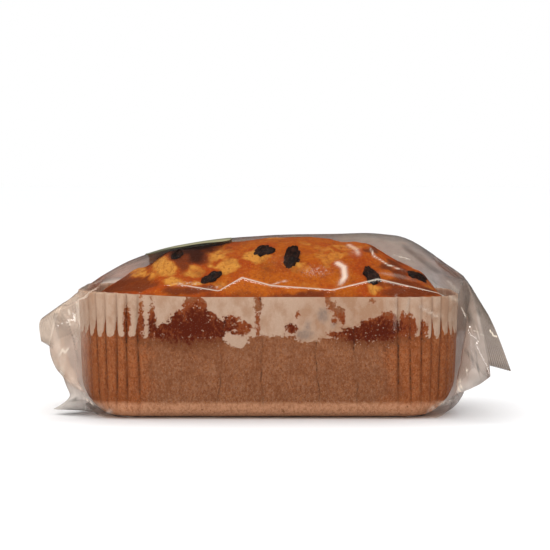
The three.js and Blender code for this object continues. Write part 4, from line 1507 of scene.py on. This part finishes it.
seam_x = np.linspace(-SEAM_REACH, SEAM_REACH, SEAM_COLUMNS)
seam_y = np.linspace(SEAM_FRONT, SEAM_BACK, SEAM_ROWS)
grid_x, grid_y = np.meshgrid(seam_x, seam_y)
grid_y = grid_y + 0.5 * np.sin(grid_x / 23)
seam_points = np.column_stack([grid_x.ravel(), grid_y.ravel(), np.full(grid_x.size, SEAM_HEIGHT)])
seam = mesh_object("under_seam", seam_points, grid_faces(SEAM_ROWS, SEAM_COLUMNS), film_material)
everywhere = np.ones(grid_x.size)
seam_run = grid_x.ravel()
set_attributes(seam, haze=SEAM_HAZE * everywhere, at_right=everywhere, crimp_share=everywhere)
set_attributes(seam, rib=np.sin(2 * math.pi * seam_run / CRIMP_PITCH), crimp_run=seam_run)
set_attributes(seam, crimp_way=np.tile([0, 0, 1.0], (grid_x.size, 1)))
run_group(seam, crimp, Pitch=CRIMP_PITCH, Depth=SEAM_CRIMP_DEPTH, Film=film_material)
thicken(seam, SEAM_THICKNESS, 0)
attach(seam, "root")
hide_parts("film_bag")


# ---- The label ----
# A thin printed paper label stuck on the crest, left of the middle: pale green with darker bands and
# corners and a cream oval. It follows the film, and its front edge stands up a little.
LABEL_CENTRE = (-39.0, 13.9)
LABEL_SIZE = (40.0, 47.6)
LABEL_CORNER = 4.0
LABEL_GAP = 0.12
LABEL_PAPER = 0.1
LABEL_COLUMNS = 64
LABEL_ROWS = 80
LABEL_SMOOTHING = 5
LABEL_GIVE = 0.02  # how far one smoothing may lower it
LOOSE_AT = -34.0
LOOSE_REACH = 14.0
LOOSE_RISE = 0.25
LOOSE_EDGE = (-11, -25)
film_surface = surface_tree(bag)
u, v = np.meshgrid(np.linspace(-1, 1, LABEL_COLUMNS), np.linspace(-1, 1, LABEL_ROWS))
u = u.ravel() * LABEL_SIZE[0] / 2
v = v.ravel() * LABEL_SIZE[1] / 2
over_u = np.clip(np.abs(u) - (LABEL_SIZE[0] / 2 - LABEL_CORNER), 0, None)
over_v = np.clip(np.abs(v) - (LABEL_SIZE[1] / 2 - LABEL_CORNER), 0, None)
shrink = 1 - np.maximum(over_u, over_v) / np.maximum(np.hypot(over_u, over_v), 1e-9)
in_corner = (over_u > 0) & (over_v > 0)
u = u - np.where(in_corner, np.sign(u) * over_u * shrink, 0)
v = v - np.where(in_corner, np.sign(v) * over_v * shrink, 0)
label_x = LABEL_CENTRE[0] + u
label_y = LABEL_CENTRE[1] + v
tops = [film_surface.ray_cast(Vector((x, y, 200)), Vector((0, 0, -1)))[0].z for x, y in zip(label_x, label_y)]
tops = np.array(tops).reshape(LABEL_ROWS, LABEL_COLUMNS)
for _ in range(LABEL_SMOOTHING):
    padded = np.pad(tops, 1, mode="edge")
    smoothed = (padded[:-2, 1:-1] + padded[2:, 1:-1] + padded[1:-1, :-2] + padded[1:-1, 2:]) / 4
    tops = np.maximum(smoothed, tops - LABEL_GIVE)
# The front edge has come loose in the middle and stands up in a shallow arch.
arch = LOOSE_RISE * smoothstep(LOOSE_REACH, 0, np.abs(label_x - LOOSE_AT)) * smoothstep(*LOOSE_EDGE, v)
label_points = np.column_stack([label_x, label_y, tops.ravel() + LABEL_GAP + arch])

LABEL_GREEN = (0.30, 0.29, 0.15, 1)
LABEL_DARK = (0.075, 0.085, 0.035, 1)
LABEL_CREAM = (0.82, 0.78, 0.62, 1)
LABEL_LINE = (0.52, 0.33, 0.08, 1)
LABEL_WORN = (0.9, 0.88, 0.8, 1)
BAND = (17.0, 1.4)  # how far from the label's middle line it lies, and its half width
LINE = (14.6, 0.35)  # the same for the thin line beside it
OVAL_HALF_SIZE = (15.5, 11.5)
OVAL_POWER = 2.4
PANEL_SHARE = 0.82  # the cream panel fills the oval out to here, and the rest is its dark rim
CORNER_LINE = 21.0  # two opposite corners are dark past a slanted line, this far from the middle
label_material, tree = new_material("label_paper")
place_u = attribute(tree, "across_label")
place_v = attribute(tree, "along_label")
banded, lined = (
    math_node("LESS_THAN", math_node("ABSOLUTE", minus(math_node("ABSOLUTE", place_v), middle)), half_width)
    for middle, half_width in (BAND, LINE)
)
oval_parts = [
    math_node("POWER", math_node("ABSOLUTE", math_node("DIVIDE", place, half_size)), OVAL_POWER)
    for place, half_size in zip((place_u, place_v), OVAL_HALF_SIZE)
]
oval = plus(*oval_parts)
slanted = plus(times(place_u, 0.62), times(place_v, 0.78))
in_dark_corner = math_node("GREATER_THAN", math_node("ABSOLUTE", slanted), CORNER_LINE)
label_grain = grained(object_place(tree), 2200.0)
label_colour = layered(
    LABEL_GREEN,
    (banded, LABEL_DARK),
    (lined, LABEL_LINE),
    (in_dark_corner, LABEL_DARK),
    (math_node("LESS_THAN", oval, 1.0), LABEL_DARK),
    (math_node("LESS_THAN", oval, PANEL_SHARE), LABEL_CREAM),
    (between(label_grain["Blotch"], 0.0, 0.14), LABEL_WORN),
)
label_relief = bump(label_grain["Grain"], 0.15, 0.0001)
end_material(principled(tree, label_colour, between(label_grain["Grain"], 0.3, 0.5), 0.5, label_relief))

label = mesh_object("label_sheet", label_points, grid_faces(LABEL_ROWS, LABEL_COLUMNS), label_material)
set_attributes(label, across_label=u, along_label=v)
thicken(label, LABEL_PAPER, 1)
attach(label, "root")
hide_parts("label")
